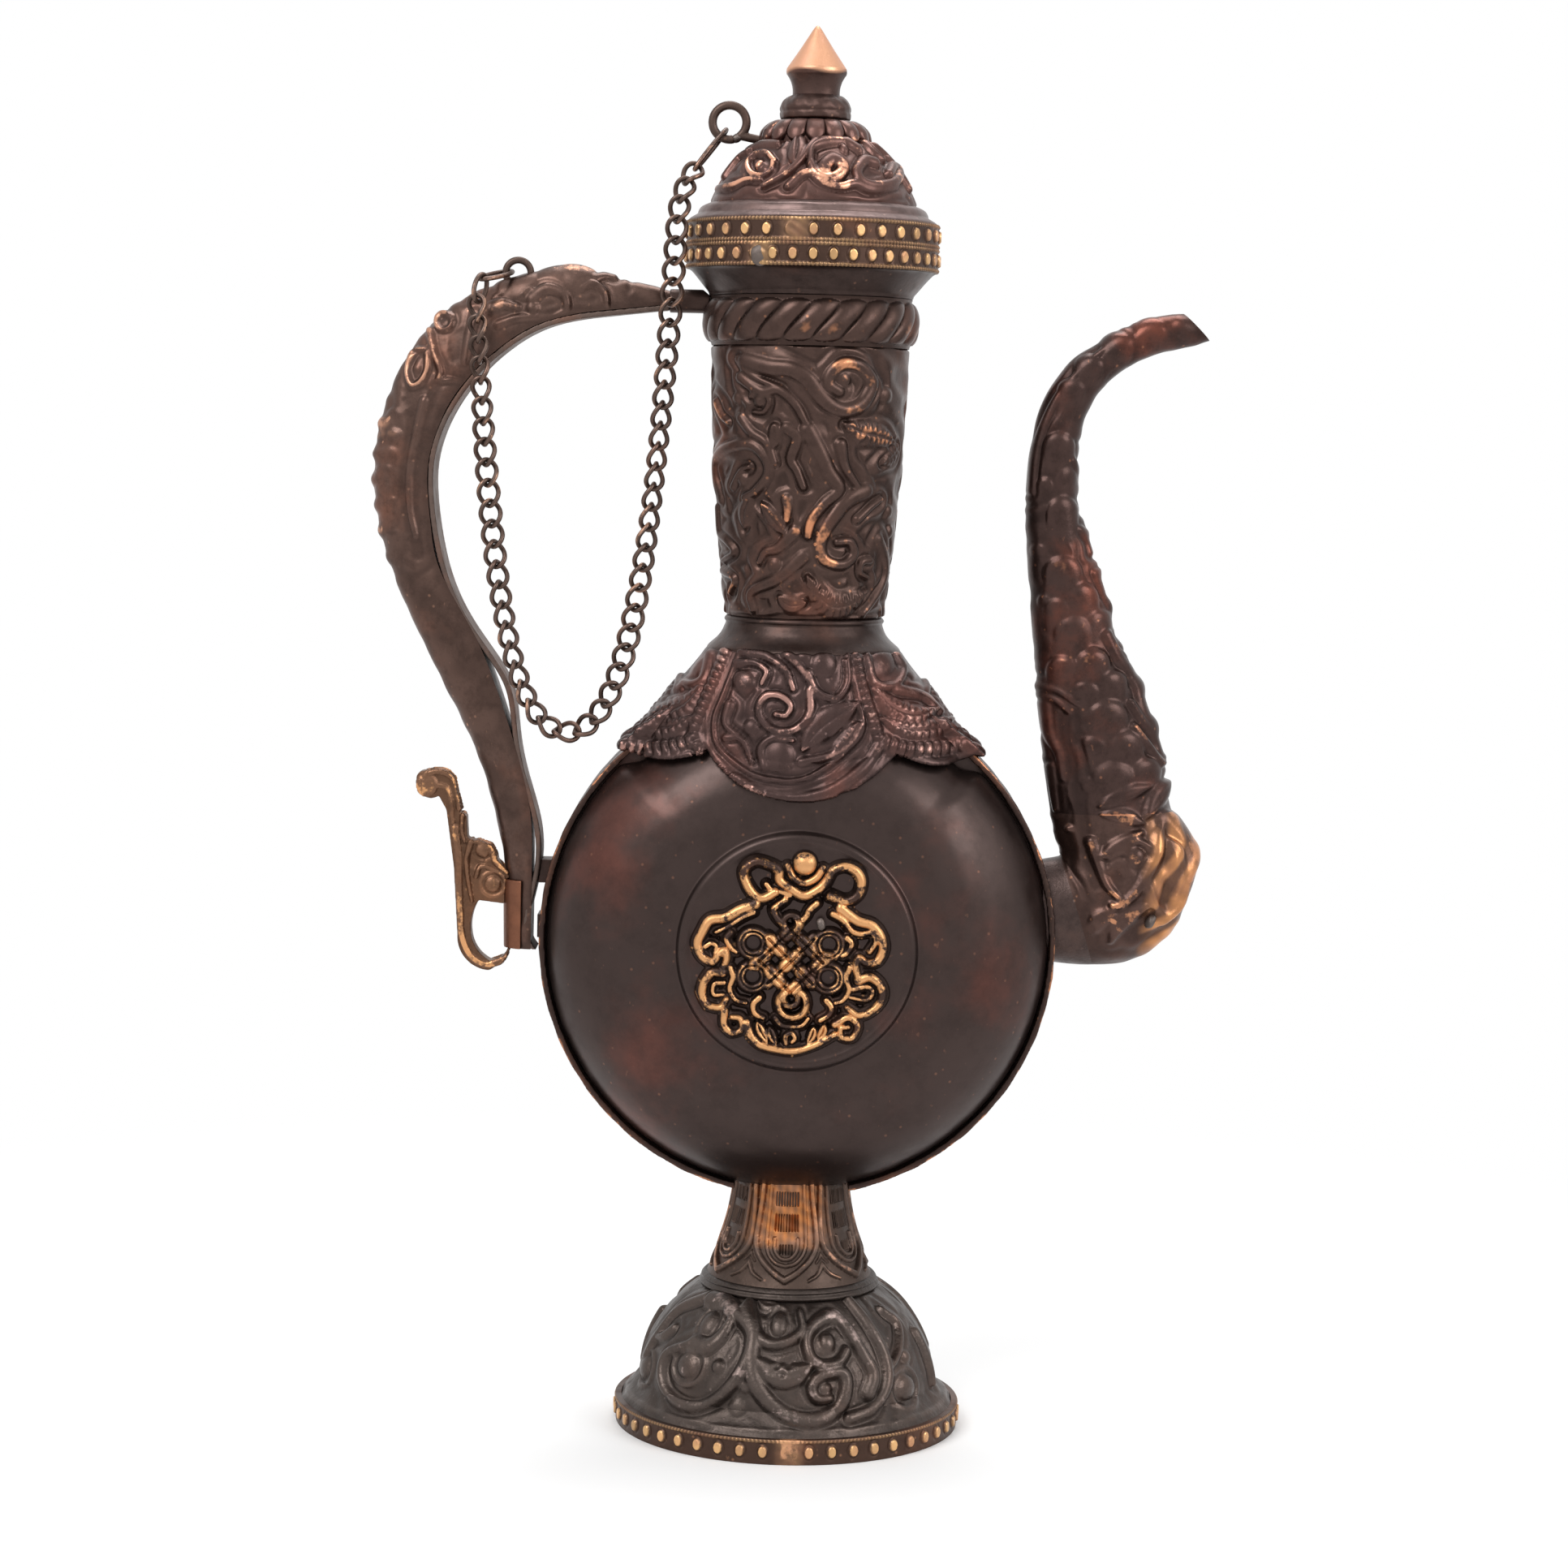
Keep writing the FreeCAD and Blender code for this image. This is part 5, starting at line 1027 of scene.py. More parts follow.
panel = [
    ("boss", ((1010, 165),), 1.3, 0.7, 0.5),
    ("stroke", ((960, 140), (985, 220), (1050, 235), (1085, 185), (1040, 110)), 0.9, 0.7, 0.6),
    ("leaf", ((985, 240), (1040, 300), (1110, 330), (1190, 320)), 2.2, 0.75, 0.3, 0.9),
    ("stroke", ((1060, 245), (1150, 275), (1210, 330)), 1.0, 0.65, 0.5),
    ("leaf", ((1010, 335), (1090, 372), (1180, 376), (1250, 355)), 2.0, 0.75, 0.3, 0.9),
    ("boss", ((1120, 200),), 0.7, 0.5), ("boss", ((960, 60),), 0.8, 0.5),
    ("cable", ((1010, 405), (1060, 425), (1100, 435), (1180, 440), (1290, 428)), 1.5, 0.8, 1.1),
]
cover_strokes = [
    ("cable", ((520, 90), (480, 190), (440, 280), (402, 372)), 1.1, 0.75, 1.0),
    ("cable", ((398, 385), (425, 440), (490, 500), (548, 530)), 1.1, 0.75, 1.0),
    ("stroke", ((545, 528), (600, 562), (660, 582), (720, 588), (790, 578), (860, 552), (950, 490),
               (1004, 420)), 1.2, 0.75),
    ("cable", ((925, 110), (940, 200), (960, 270), (985, 340), (1002, 395)), 1.1, 0.75, 1.0),
    ("stroke", ((560, 110), (500, 260), (470, 340), (482, 420), (560, 490), (640, 522), (760, 522),
               (880, 450), (948, 370), (935, 280), (900, 130)), 0.5, 0.5),
    ("boss", ((567, 215),), 1.1, 0.8),
    ("stroke", ((545, 160), (600, 155), (640, 180), (625, 220)), 0.9, 0.7, 0.5),
    ("stroke", ((560, 120), (640, 135), (700, 175), (725, 235)), 1.0, 0.7, 0.7),
    ("stroke", ((700, 120), (745, 165), (785, 225)), 1.0, 0.7, 0.7), ("boss", ((822, 160),), 1.25, 0.8),
    ("stroke", ((770, 185), (800, 245), (860, 268), (898, 220), (896, 150)), 1.0, 0.75, 0.7),
    ("stroke", ((780, 240), (775, 320), (720, 370), (650, 362), (615, 310), (635, 262), (682, 258),
               (716, 288), (702, 320), (670, 318)), 1.0, 0.85, 0.7),
    ("leaf", ((755, 430), (800, 370), (860, 325), (930, 285)), 2.8, 0.85, 0.3),
    ("leaf", ((850, 440), (900, 400), (932, 345)), 1.6, 0.7, 0.3, 0.7), ("boss", ((822, 385),), 0.5, 0.95),
    ("boss", ((680, 452),), 1.5, 0.9),
    ("stroke", ((632, 482), (622, 425), (660, 392), (722, 400)), 1.0, 0.75, 0.6),
    ("stroke", ((750, 470), (840, 450), (905, 415), (945, 350)), 1.0, 0.7, 0.6),
    ("stroke", ((520, 290), (508, 350), (545, 385)), 1.0, 0.7, 0.6), ("boss", ((590, 360),), 0.8, 0.7),
    ("stroke", ((510, 395), (560, 400), (592, 470)), 0.9, 0.65, 0.5),
] + both_ways(panel, COVER_MIRROR)
cover_side = both_ways([
    ("leaf", ((1.0, 96.5), (3.0, 93.5), (2.4, 89.5)), 2.2, 0.6, 0.3, 0.9),
    ("stroke", ((0.5, 97.0), (4.5, 95.5), (6.0, 91.5)), 0.9, 0.6, 0.5), ("boss", ((5.6, 97.0),), 0.8, 0.5),
    ("boss", ((5.0, 89.0),), 0.9, 0.5),
])
cover_relief = drawn_on_sides(cover_strokes, COVER_DRAWING, depth=-15.0, full=0.85,
                              side_strokes=cover_side, broad=1.35, flow=(0.3, 1.9))
cover = softened("shoulder_cover_chasing", "shoulder_cover", 0.2, 4, cover_relief, blend=2)
set_in_place(cover, "vessel", COVERING, "dark_copper", "shoulder_cover")


# Medallion: raised strips over the body's own face, which shows between them

def on_disc(points):
    across, down, scale = DISC_DRAWING
    return [((x - across) / scale, BODY_CENTRE + (down - y) / scale) for x, y in points]


def ring_points(centre, radius, steps=14):
    turns = [TURN * k / steps for k in range(steps + 1)]
    return tuple((centre[0] + radius * math.cos(turn), centre[1] + radius * math.sin(turn))
                 for turn in turns)


def beside(place, way, reach):
    return place[0] + way[0] * reach, place[1] + way[1] * reach


def faced(angles, radii, depth, way):
    """Places round the body's axis, on its front for way 1 and on its back for way -1."""
    return np.stack([way * radii * np.sin(angles), -way * depth,
                     BODY_CENTRE + radii * np.cos(angles)], axis=2)


scrollwork = [
    ("stroke", ((620, 380), (550, 420), (490, 410), (430, 330), (410, 240), (480, 180), (560, 190),
               (640, 230), (650, 300), (720, 350), (810, 400), (900, 360), (960, 300), (1000, 230),
               (1080, 200), (1160, 230), (1195, 300), (1170, 390), (1090, 430), (990, 400)), 1.15, 1.35),
    ("stroke", ((700, 205), (740, 280), (812, 315), (890, 280), (935, 215)), 1.0, 1.2),
    ("boss", ((815, 185),), 1.3, 1.75),
    ("stroke", ((560, 330), (600, 370), (660, 380), (720, 400)), 0.8, 1.0),
    ("stroke", ((690, 430), (640, 470), (612, 500), (640, 560), (700, 610)), 0.9, 1.2),
    ("stroke", ((900, 450), (850, 500), (830, 540), (760, 610)), 0.9, 1.2),
    ("stroke", ((490, 465), (380, 510), (290, 560), (190, 580), (140, 660), (110, 740), (140, 820),
               (210, 860), (250, 810), (290, 780), (305, 830), (285, 890)), 1.3, 1.3, 0.9),
    ("stroke", ((160, 760), (200, 735), (235, 755), (225, 800)), 0.8, 1.0, 0.6),
    ("stroke", ((480, 520), (400, 560), (310, 620), (230, 660)), 0.8, 1.0, 0.6),
    ("stroke", ((1010, 520), (1080, 560), (1140, 630), (1200, 650), (1270, 640), (1300, 700), (1260, 770)),
               0.9, 1.15, 0.7),
    ("stroke", ((1060, 480), (1170, 560), (1270, 590), (1330, 660), (1350, 750), (1310, 830), (1240, 840),
               (1190, 810), (1170, 870), (1190, 950)), 1.3, 1.3, 0.9),
    ("stroke", ((280, 930), (210, 930), (160, 1000), (150, 1080), (190, 1150), (270, 1165), (310, 1110)),
               1.2, 1.3, 0.8),
    ("stroke", ((290, 1000), (225, 1010), (222, 1080), (290, 1080)), 0.8, 1.0, 0.6),
    ("stroke", ((1190, 965), (1270, 940), (1340, 1000), (1350, 1080), (1290, 1160), (1200, 1200),
               (1120, 1150)), 1.2, 1.3, 0.8),
    ("stroke", ((1160, 1025), (1250, 1005), (1290, 1040), (1250, 1095), (1140, 1080)), 0.8, 1.0, 0.6),
    ("stroke", ((530, 1095), (490, 1140), (505, 1205), (560, 1230)), 0.9, 1.1, 0.7),
    ("stroke", ((980, 1105), (1015, 1150), (1000, 1200), (940, 1240)), 0.9, 1.1, 0.7),
    ("stroke", ((300, 1190), (300, 1280), (350, 1335), (415, 1310), (405, 1240), (350, 1230)),
               1.0, 1.2, 0.7),
    ("stroke", ((1040, 1265), (1130, 1215), (1190, 1270), (1160, 1350), (1090, 1350), (1080, 1290),
               (1130, 1280)), 1.0, 1.2, 0.7),
    ("stroke", ((450, 1270), (480, 1350), (540, 1410), (640, 1440), (760, 1452), (860, 1425), (960, 1380),
               (1040, 1330)), 1.1, 1.25, 0.8), ("leaf", ((520, 1260), (545, 1320), (590, 1395)), 1.3, 1.2),
    ("leaf", ((600, 1290), (620, 1350), (650, 1410)), 1.2, 1.1),
    ("leaf", ((900, 1290), (890, 1340), (860, 1400)), 1.2, 1.1),
    ("leaf", ((970, 1270), (960, 1320), (930, 1370)), 1.2, 1.2),
    ("stroke", ((715, 1400), (712, 1350), (750, 1330), (775, 1365), (755, 1390)), 0.8, 1.1, 0.6),
    ("stroke", ((640, 1230), (690, 1280), (810, 1280), (860, 1230)), 0.8, 1.0, 0.6),
    ("stroke", ((330, 900), (350, 960), (330, 1040), (370, 1110), (440, 1130)), 0.9, 1.1, 0.6),
    ("stroke", ((1130, 880), (1110, 950), (1130, 1030), (1090, 1100), (1040, 1120)), 0.9, 1.1, 0.6),
    ("stroke", ((330, 660), (300, 700), (330, 760), (370, 790)), 0.9, 1.1, 0.6),
    ("stroke", ((1110, 680), (1140, 720), (1110, 780), (1080, 800)), 0.9, 1.1, 0.6),
    ("stroke", tuple(ring_points((752, 1130), 92)), 0.95, 1.35), ("pit", ((752, 1130),), 0.95, 1.2),
]
KNOT_CENTRE = (-0.75, 62.85)
KNOT_STEP = 2.76
KNOT_STRIP = 1.95
KNOT_RISE, CROSSING_RISE = 1.25, 1.75


def knot_lines():
    """Three bars each way with loops at their ends; every second crossing stands higher."""
    rows, over, grooves, holes = [], [], [], []
    cx, cz = KNOT_CENTRE
    half = math.sqrt(0.5)
    for slope in (1, -1):
        along, aside = (half, -half * slope), (half * slope, half)
        for row in (-1, 0, 1):
            middle = beside(KNOT_CENTRE, aside, row * KNOT_STEP)
            reach = KNOT_STEP * (1.45 if row == 0 else 1.05)
            ends = tuple(beside(middle, along, way * reach) for way in (-1, 1))
            rows.append(("stroke", ends, KNOT_STRIP, KNOT_RISE, None, 0, 5, 0.35))
            grooves.append(("cut", ends, 0.42, 0.35))
            for column in (-1, 0, 1):
                if (row + column + (slope > 0)) % 2 == 0:
                    cross = beside(middle, along, column * KNOT_STEP)
                    bit = tuple(beside(cross, along, way * 0.95) for way in (-1, 1))
                    over.append(("stroke", bit, KNOT_STRIP, CROSSING_RISE, None, 0, 5, 0.3))
    for side in (-1, 1):
        for rise in (-1, 1):
            centre = (cx + side * 4.75, cz + rise * 2.1)
            rows.append(("stroke", ring_points(centre, 1.5), 1.6, 1.15))
            grooves.append(("cut", ring_points(centre, 1.5), 0.32, 0.3))
            holes.append(("pit", (centre,), 0.8, 1.5))
        rows.append(("stroke", ring_points((cx, cz + side * 4.7), 1.05), 1.2, 1.15))
        holes.append(("pit", ((cx, cz + side * 4.7),), 0.5, 1.4))
    return rows + over + grooves + holes


def disc_relief(angles, radii):
    """Height of the strips over the disc, and how far their tops are rubbed to bright metal."""
    across, up = radii * np.sin(angles), BODY_CENTRE + radii * np.cos(angles)
    sheet = Relief(across, up)
    bases = [(kind, points, sizes[0] + 0.8, sizes[1] - 0.45) for kind, points, *sizes in scrollwork
             if kind == "stroke"]
    stroke_sheet(sheet, bases, on_disc)
    stroke_sheet(sheet, scrollwork, on_disc, 1.3)
    scroll_top = sheet.height.copy()
    stroke_sheet(sheet, knot_lines(), lambda points: points)
    plate = 0.15 * np.clip((11.3 - np.hypot(across + 0.9, up - BODY_CENTRE + 0.5)) / 0.8, 0, 1)
    top = np.where(sheet.height > 0, np.maximum(sheet.height, plate), sheet.height + plate)
    top = blurred(top, 1)
    knot = sheet.height > scroll_top + 0.01
    worn = np.where(knot, 0.55 * np.clip((top - 0.9) / 0.3, 0, 1), np.clip((top - 0.78) / 0.22, 0, 1))
    return top, worn


MEDALLION_RADIUS, MEDALLION_TOP = 13.65, 17.2


def medallion(name, node, way):
    """Disc of raised strips; between them its face lies just under the body's."""
    angle = np.linspace(0, TURN, 840, endpoint=False)
    angles, radii = np.meshgrid(angle, np.arange(0.05, MEDALLION_RADIUS + 0.05, 0.1))
    top, worn = disc_relief(angles, radii)
    depth = DISC_FACE - 0.35 + np.clip(top, -0.3, 2.0) + 0.35 * np.clip(top / 0.3, 0, 1)
    outer = faced(angles, radii, np.minimum(depth, MEDALLION_TOP), way)
    angles, radii = np.meshgrid(angle, (0.05, MEDALLION_RADIUS))
    inner = faced(angles, radii, np.full(radii.shape, DISC_FACE - 0.75), way)
    thing = skin(name, outer, inner, worn)
    return set_in_place(thing, "vessel", GILT, "bright_brass", node)


medallion("front_knot", "front_medallion", 1)
medallion("back_knot", "back_medallion", -1)


# Spout: an oval swept through listed stations

SPOUT_RISE, SPOUT_DEPTH, SPOUT_ROOT = 83.5, 12.4, BODY_CENTRE - 2.5
spout_stations = (
    (-0.020, 0.158, -0.020, 0.000, 0.86), (0.008, 0.164, 0.064, -0.004, 0.92),
    (0.010, 0.170, 0.138, 0.014, 0.98), (0.008, 0.180, 0.196, 0.076, 1.00),
    (0.000, 0.196, 0.214, 0.168, 0.96), (-0.008, 0.234, 0.178, 0.238, 0.88),
    (-0.020, 0.308, 0.160, 0.312, 0.82), (-0.031, 0.408, 0.124, 0.412, 0.75),
    (-0.042, 0.508, 0.082, 0.512, 0.66), (-0.052, 0.608, 0.049, 0.611, 0.58),
    (-0.059, 0.704, 0.019, 0.708, 0.50), (-0.055, 0.782, 0.016, 0.776, 0.46),
    (-0.041, 0.850, 0.023, 0.828, 0.43), (-0.006, 0.913, 0.043, 0.876, 0.40),
    (0.050, 0.957, 0.082, 0.914, 0.37), (0.107, 0.986, 0.128, 0.938, 0.35),
    (0.172, 1.000, 0.213, 0.960, 0.32),
)
spout_strokes = [
    ("scale", ((240, 140),), 3.1, 0.6), ("scale", ((350, 120),), 3.5, 0.7),
    ("scale", ((425, 195),), 3.0, 0.6), ("scale", ((325, 225),), 2.8, 0.5),
    ("scale", ((402, 322),), 4.2, 0.7), ("scale", ((350, 430),), 3.0, 0.55),
    ("scale", ((470, 430),), 3.9, 0.7), ("scale", ((425, 550),), 4.4, 0.7),
    ("scale", ((545, 520),), 3.2, 0.6),
    ("stroke", ((400, 10), (440, 90), (485, 150), (520, 215), (535, 280), (560, 340), (595, 410),
               (612, 470)), 1.1, 0.6, 0.9), ("stroke", ((430, 60), (470, 110), (490, 180)), 0.7, 0.5, 0.5),
    ("stroke", ((490, 260), (540, 340), (590, 400)), 0.8, 0.5, 0.5),
    ("stroke", ((500, 350), (560, 430), (605, 495)), 0.9, 0.55, 0.6),
    ("cut", ((245, 285), (250, 400), (285, 530)), 0.5, 0.35),
    ("cut", ((290, 250), (300, 380), (335, 525)), 0.5, 0.35),
    ("stroke", ((162, 205), (225, 215), (292, 262)), 1.1, 0.35, 0.6),
    ("stroke", ((165, 235), (215, 250), (262, 290)), 1.0, 0.3, 0.6),
    ("stroke", ((178, 270), (194, 380), (228, 450), (242, 540)), 1.3, 0.3, 0.7),
    ("stroke", ((200, 500), (210, 590), (220, 660)), 1.0, 0.25, 0.6),
    ("cut", ((298, 560), (312, 700), (332, 820), (365, 925)), 0.45, 0.35),
    ("boss", ((265, 725),), 0.42, 0.45),
]
head_strokes = [
    ("leaf", ((375, 642), (450, 600), (560, 568)), 2.6, 0.9, 0.15),
    ("leaf", ((380, 668), (450, 674), (535, 706)), 2.4, 0.8, 0.15),
    ("leaf", ((378, 830), (440, 788), (530, 735)), 2.4, 0.85, 0.15),
    ("leaf", ((540, 685), (590, 612), (632, 560)), 2.8, 1.0, 0.15),
    ("stroke", ((345, 770), (370, 850), (400, 930), (455, 985)), 1.6, 0.8, 1.0),
    ("leaf", ((395, 885), (440, 850), (478, 892), (455, 955)), 2.2, 0.6, 0.2),
    ("boss", ((502, 825),), 1.4, 0.95),
    ("stroke", ((466, 805), (500, 768), (550, 788), (566, 838)), 1.1, 0.8, 0.7),
    ("stroke", ((582, 812), (548, 885), (505, 948), (455, 995), (420, 1003)), 1.9, 1.0, 1.2),
    ("leaf", ((605, 700), (585, 790), (572, 885)), 2.0, 0.8, 0.2),
    ("stroke", ((612, 690), (660, 720), (705, 780), (718, 840), (700, 920), (660, 1010), (600, 1062)),
               2.4, 0.85, 1.4), ("leaf", ((625, 765), (662, 850), (645, 975)), 2.4, 0.8, 0.3),
    ("stroke", ((548, 925), (572, 1000), (625, 1045)), 1.5, 0.8, 1.0),
    ("leaf", ((300, 1142), (345, 1080), (400, 1040), (445, 1062)), 2.6, 0.8, 0.2),
    ("leaf", ((412, 1142), (440, 1075), (475, 1045), (552, 1000)), 2.6, 0.85, 0.2),
]
for streak in range(7):
    line = ((620 + streak * 7, 920 + streak * 6), (606 + streak * 7, 1000 + streak * 4))
    head_strokes.append(("cut", line, 0.2, 0.16))
for streak in range(5):
    line = ((478 + streak * 11, 1078 - streak * 4), (492 + streak * 12, 1125 - streak * 6))
    head_strokes.append(("cut", line, 0.2, 0.16))
tip_strokes = [
    ("scale", ((195, 500),), 3.4, 0.55, 1.7), ("scale", ((220, 600),), 2.6, 0.45, 1.5),
    ("scale", ((206, 705),), 3.4, 0.6, 1.9), ("scale", ((205, 905),), 4.1, 0.6, 1.5),
    ("scale", ((268, 985),), 3.6, 0.6), ("scale", ((186, 1020),), 3.0, 0.55),
    ("scale", ((237, 1095),), 4.1, 0.6), ("scale", ((325, 1062),), 3.0, 0.55),
    ("scale", ((236, 322),), 3.0, 0.55, 1.2), ("scale", ((150, 620),), 1.8, 0.4, 1.5),
    ("scale", ((130, 830),), 1.8, 0.4, 1.5), ("scale", ((150, 990),), 1.6, 0.4, 1.4),
    ("scale", ((292, 248),), 3.2, 0.5, 1.3), ("scale", ((382, 178),), 3.4, 0.5, 1.3),
    ("scale", ((492, 130),), 3.4, 0.45, 1.3), ("scale", ((602, 108),), 3.0, 0.4, 1.2),
    ("stroke", ((110, 640), (120, 520), (150, 420), (195, 330), (255, 262), (320, 200), (400, 145)),
               0.9, 0.3, 0.6), ("stroke", ((262, 760), (290, 800), (300, 840)), 0.8, 0.4, 0.6),
    ("stroke", ((240, 540), (255, 580), (262, 620)), 0.8, 0.4, 0.5),
    ("stroke", ((310, 900), (345, 980), (380, 1060)), 0.9, 0.45, 0.7),
]


SECTION_STEP = 0.17
SPOUT_COLUMNS, GRIP_COLUMNS = 220, 150


def section_frame(stations, point_at):
    """Stations smoothed and evenly spaced: ends of every section and its depth share."""
    rows = []
    for station in stations:
        low, high = point_at(*station[:2]), point_at(*station[2:4])
        rows.append((low[0], low[1], high[0], high[1], station[4]))
    line = rounded(rows, 12)
    middle = np.column_stack([(line[:, 0] + line[:, 2]) / 2, (line[:, 1] + line[:, 3]) / 2])
    along = np.concatenate([[0], np.cumsum(np.hypot(*np.diff(middle, axis=0).T))])
    places = np.linspace(0, along[-1], int(along[-1] / SECTION_STEP))
    return np.column_stack([np.interp(places, along, line[:, k]) for k in range(5)]), along[::12], places


def spout_point(x_share, rise_share):
    return BODY_RADIUS + x_share * SPOUT_RISE, SPOUT_ROOT + rise_share * SPOUT_RISE


def oval_rings(sections, columns, inset):
    """Oval rings; column 0 is on the outer side and a quarter of them further is the front."""
    low, high = sections[:, None, 0:2], sections[:, None, 2:4]
    middle, span = (low + high) / 2, (high - low) / 2
    reach = np.linalg.norm(span, axis=2, keepdims=True)
    turn = np.linspace(0, TURN, columns, endpoint=False)[None, :, None]
    place = middle + span / reach * (reach - inset) * np.cos(turn)
    depth = -(sections[:, None, 4:5] * SPOUT_DEPTH / 2 - inset) * np.sin(turn)
    return np.concatenate([place[:, :, 0:1], depth, place[:, :, 1:2]], axis=2)


sections, marks, runs = section_frame(spout_stations, spout_point)
spout_outer = oval_rings(sections, SPOUT_COLUMNS, 0.0)
spout_inner = oval_rings(sections, SPOUT_COLUMNS, RAISED_WALL)
spout_normal = outward(spout_outer)
spout_x, spout_z = spout_outer[:, :, 0], spout_outer[:, :, 2]
sheet = Relief(spout_x, spout_z)
stroke_sheet(sheet, spout_strokes, lambda points: seen(points, -4.5, SPOUT_DRAWING), 1.35, 1.4)
stroke_sheet(sheet, head_strokes, lambda points: seen(points, -5.0, SPOUT_DRAWING))
stroke_sheet(sheet, tip_strokes, lambda points: seen(points, -2.8, TIP_DRAWING), 1.25, 1.15)
sheet.flow(0.2, 1.9)
turn = np.linspace(0, TURN, SPOUT_COLUMNS, endpoint=False)[None, :]
ridge = np.exp(-((np.minimum(turn, TURN - turn)) / 0.34) ** 2)
fins = 0.35 * np.clip(np.sin(runs * TURN / 5.2), -0.3, 1)[:, None] * ridge
fins *= np.clip((runs - marks[5]) / 4, 0, 1)[:, None] * np.clip((marks[11] - runs) / 6, 0, 1)[:, None]
fade = np.clip(np.minimum(runs - marks[1], runs[-1] - runs) / 1.5, 0, 1)[:, None]
cheek = np.clip((spout_x - 43.6) / 2.4, 0, 1) * np.clip((marks[5] + 1 - runs) / 5, 0, 1)[:, None]
swirl = np.hypot(spout_x - 36.5, spout_z - 78.0) + 0.5 * np.sin(spout_z * 0.8)
folds = np.clip(np.sin(swirl * TURN / 2.7) + 0.45, 0, 1)
rise = blurred(np.clip(sheet.height, -0.4, 1.15) * fade + fins + 0.3 * folds * cheek, 2)
spout_worn = np.clip(rise / 0.75, 0, 1)
# Bright stripes over the cheek folds, varied by flecks: a painted highlight in place of the light on the
# folds.
fleck = 0.5 + 0.5 * np.sin(spout_x * 1.9 + spout_z * 0.8) * np.sin(spout_z * 1.7)
spout_painted_highlight = cheek * (0.12 + 0.88 * folds) * (0.55 + 0.45 * fleck)
spout_outer = spout_outer + spout_normal * rise[:, :, None]
for name, node, material, first, last in (
        ("spout_root", "spout_socket", SOCKET, 0, marks[1]),
        ("makara_head", "spout_head", MAKARA, marks[1], marks[5]),
        ("scaled_spout", "spout_tube", SCALED, marks[5], runs[-1] + 1)):
    rows = slice(max(0, np.searchsorted(runs, first) - (first > 0)), np.searchsorted(runs, last))
    part = skin(name, spout_outer[rows], spout_inner[rows], spout_worn[rows], spout_painted_highlight[rows])
    set_in_place(part, "vessel", material, "dark_copper", node)


# Handle: a half oval of raised sheet over a flat inner strip

HANDLE_SPREAD, HANDLE_DEPTH, HANDLE_STRIP = 87.1, 7.6, 0.75
HANDLE_FOOT = BODY_CENTRE - 2.2
HANDLE_HEIGHT = (NECK_TOP + 5.5 - HANDLE_FOOT) / 0.9575
handle_stations = (
    (0.207, 0.943, 0.207, 0.972, 0.36), (0.270, 0.936, 0.280, 0.986, 0.50),
    (0.343, 0.926, 0.354, 1.000, 0.70), (0.401, 0.907, 0.425, 0.984, 0.86),
    (0.451, 0.873, 0.496, 0.960, 0.96), (0.491, 0.832, 0.560, 0.909, 1.00),
    (0.523, 0.783, 0.611, 0.822, 1.00), (0.545, 0.712, 0.635, 0.716, 0.97),
    (0.541, 0.631, 0.627, 0.619, 0.95), (0.525, 0.558, 0.596, 0.528, 0.92),
    (0.464, 0.446, 0.538, 0.409, 0.88), (0.417, 0.318, 0.482, 0.295, 0.82),
    (0.389, 0.207, 0.448, 0.194, 0.77), (0.385, 0.102, 0.432, 0.102, 0.74),
    (0.385, 0.000, 0.430, 0.000, 0.72),
)
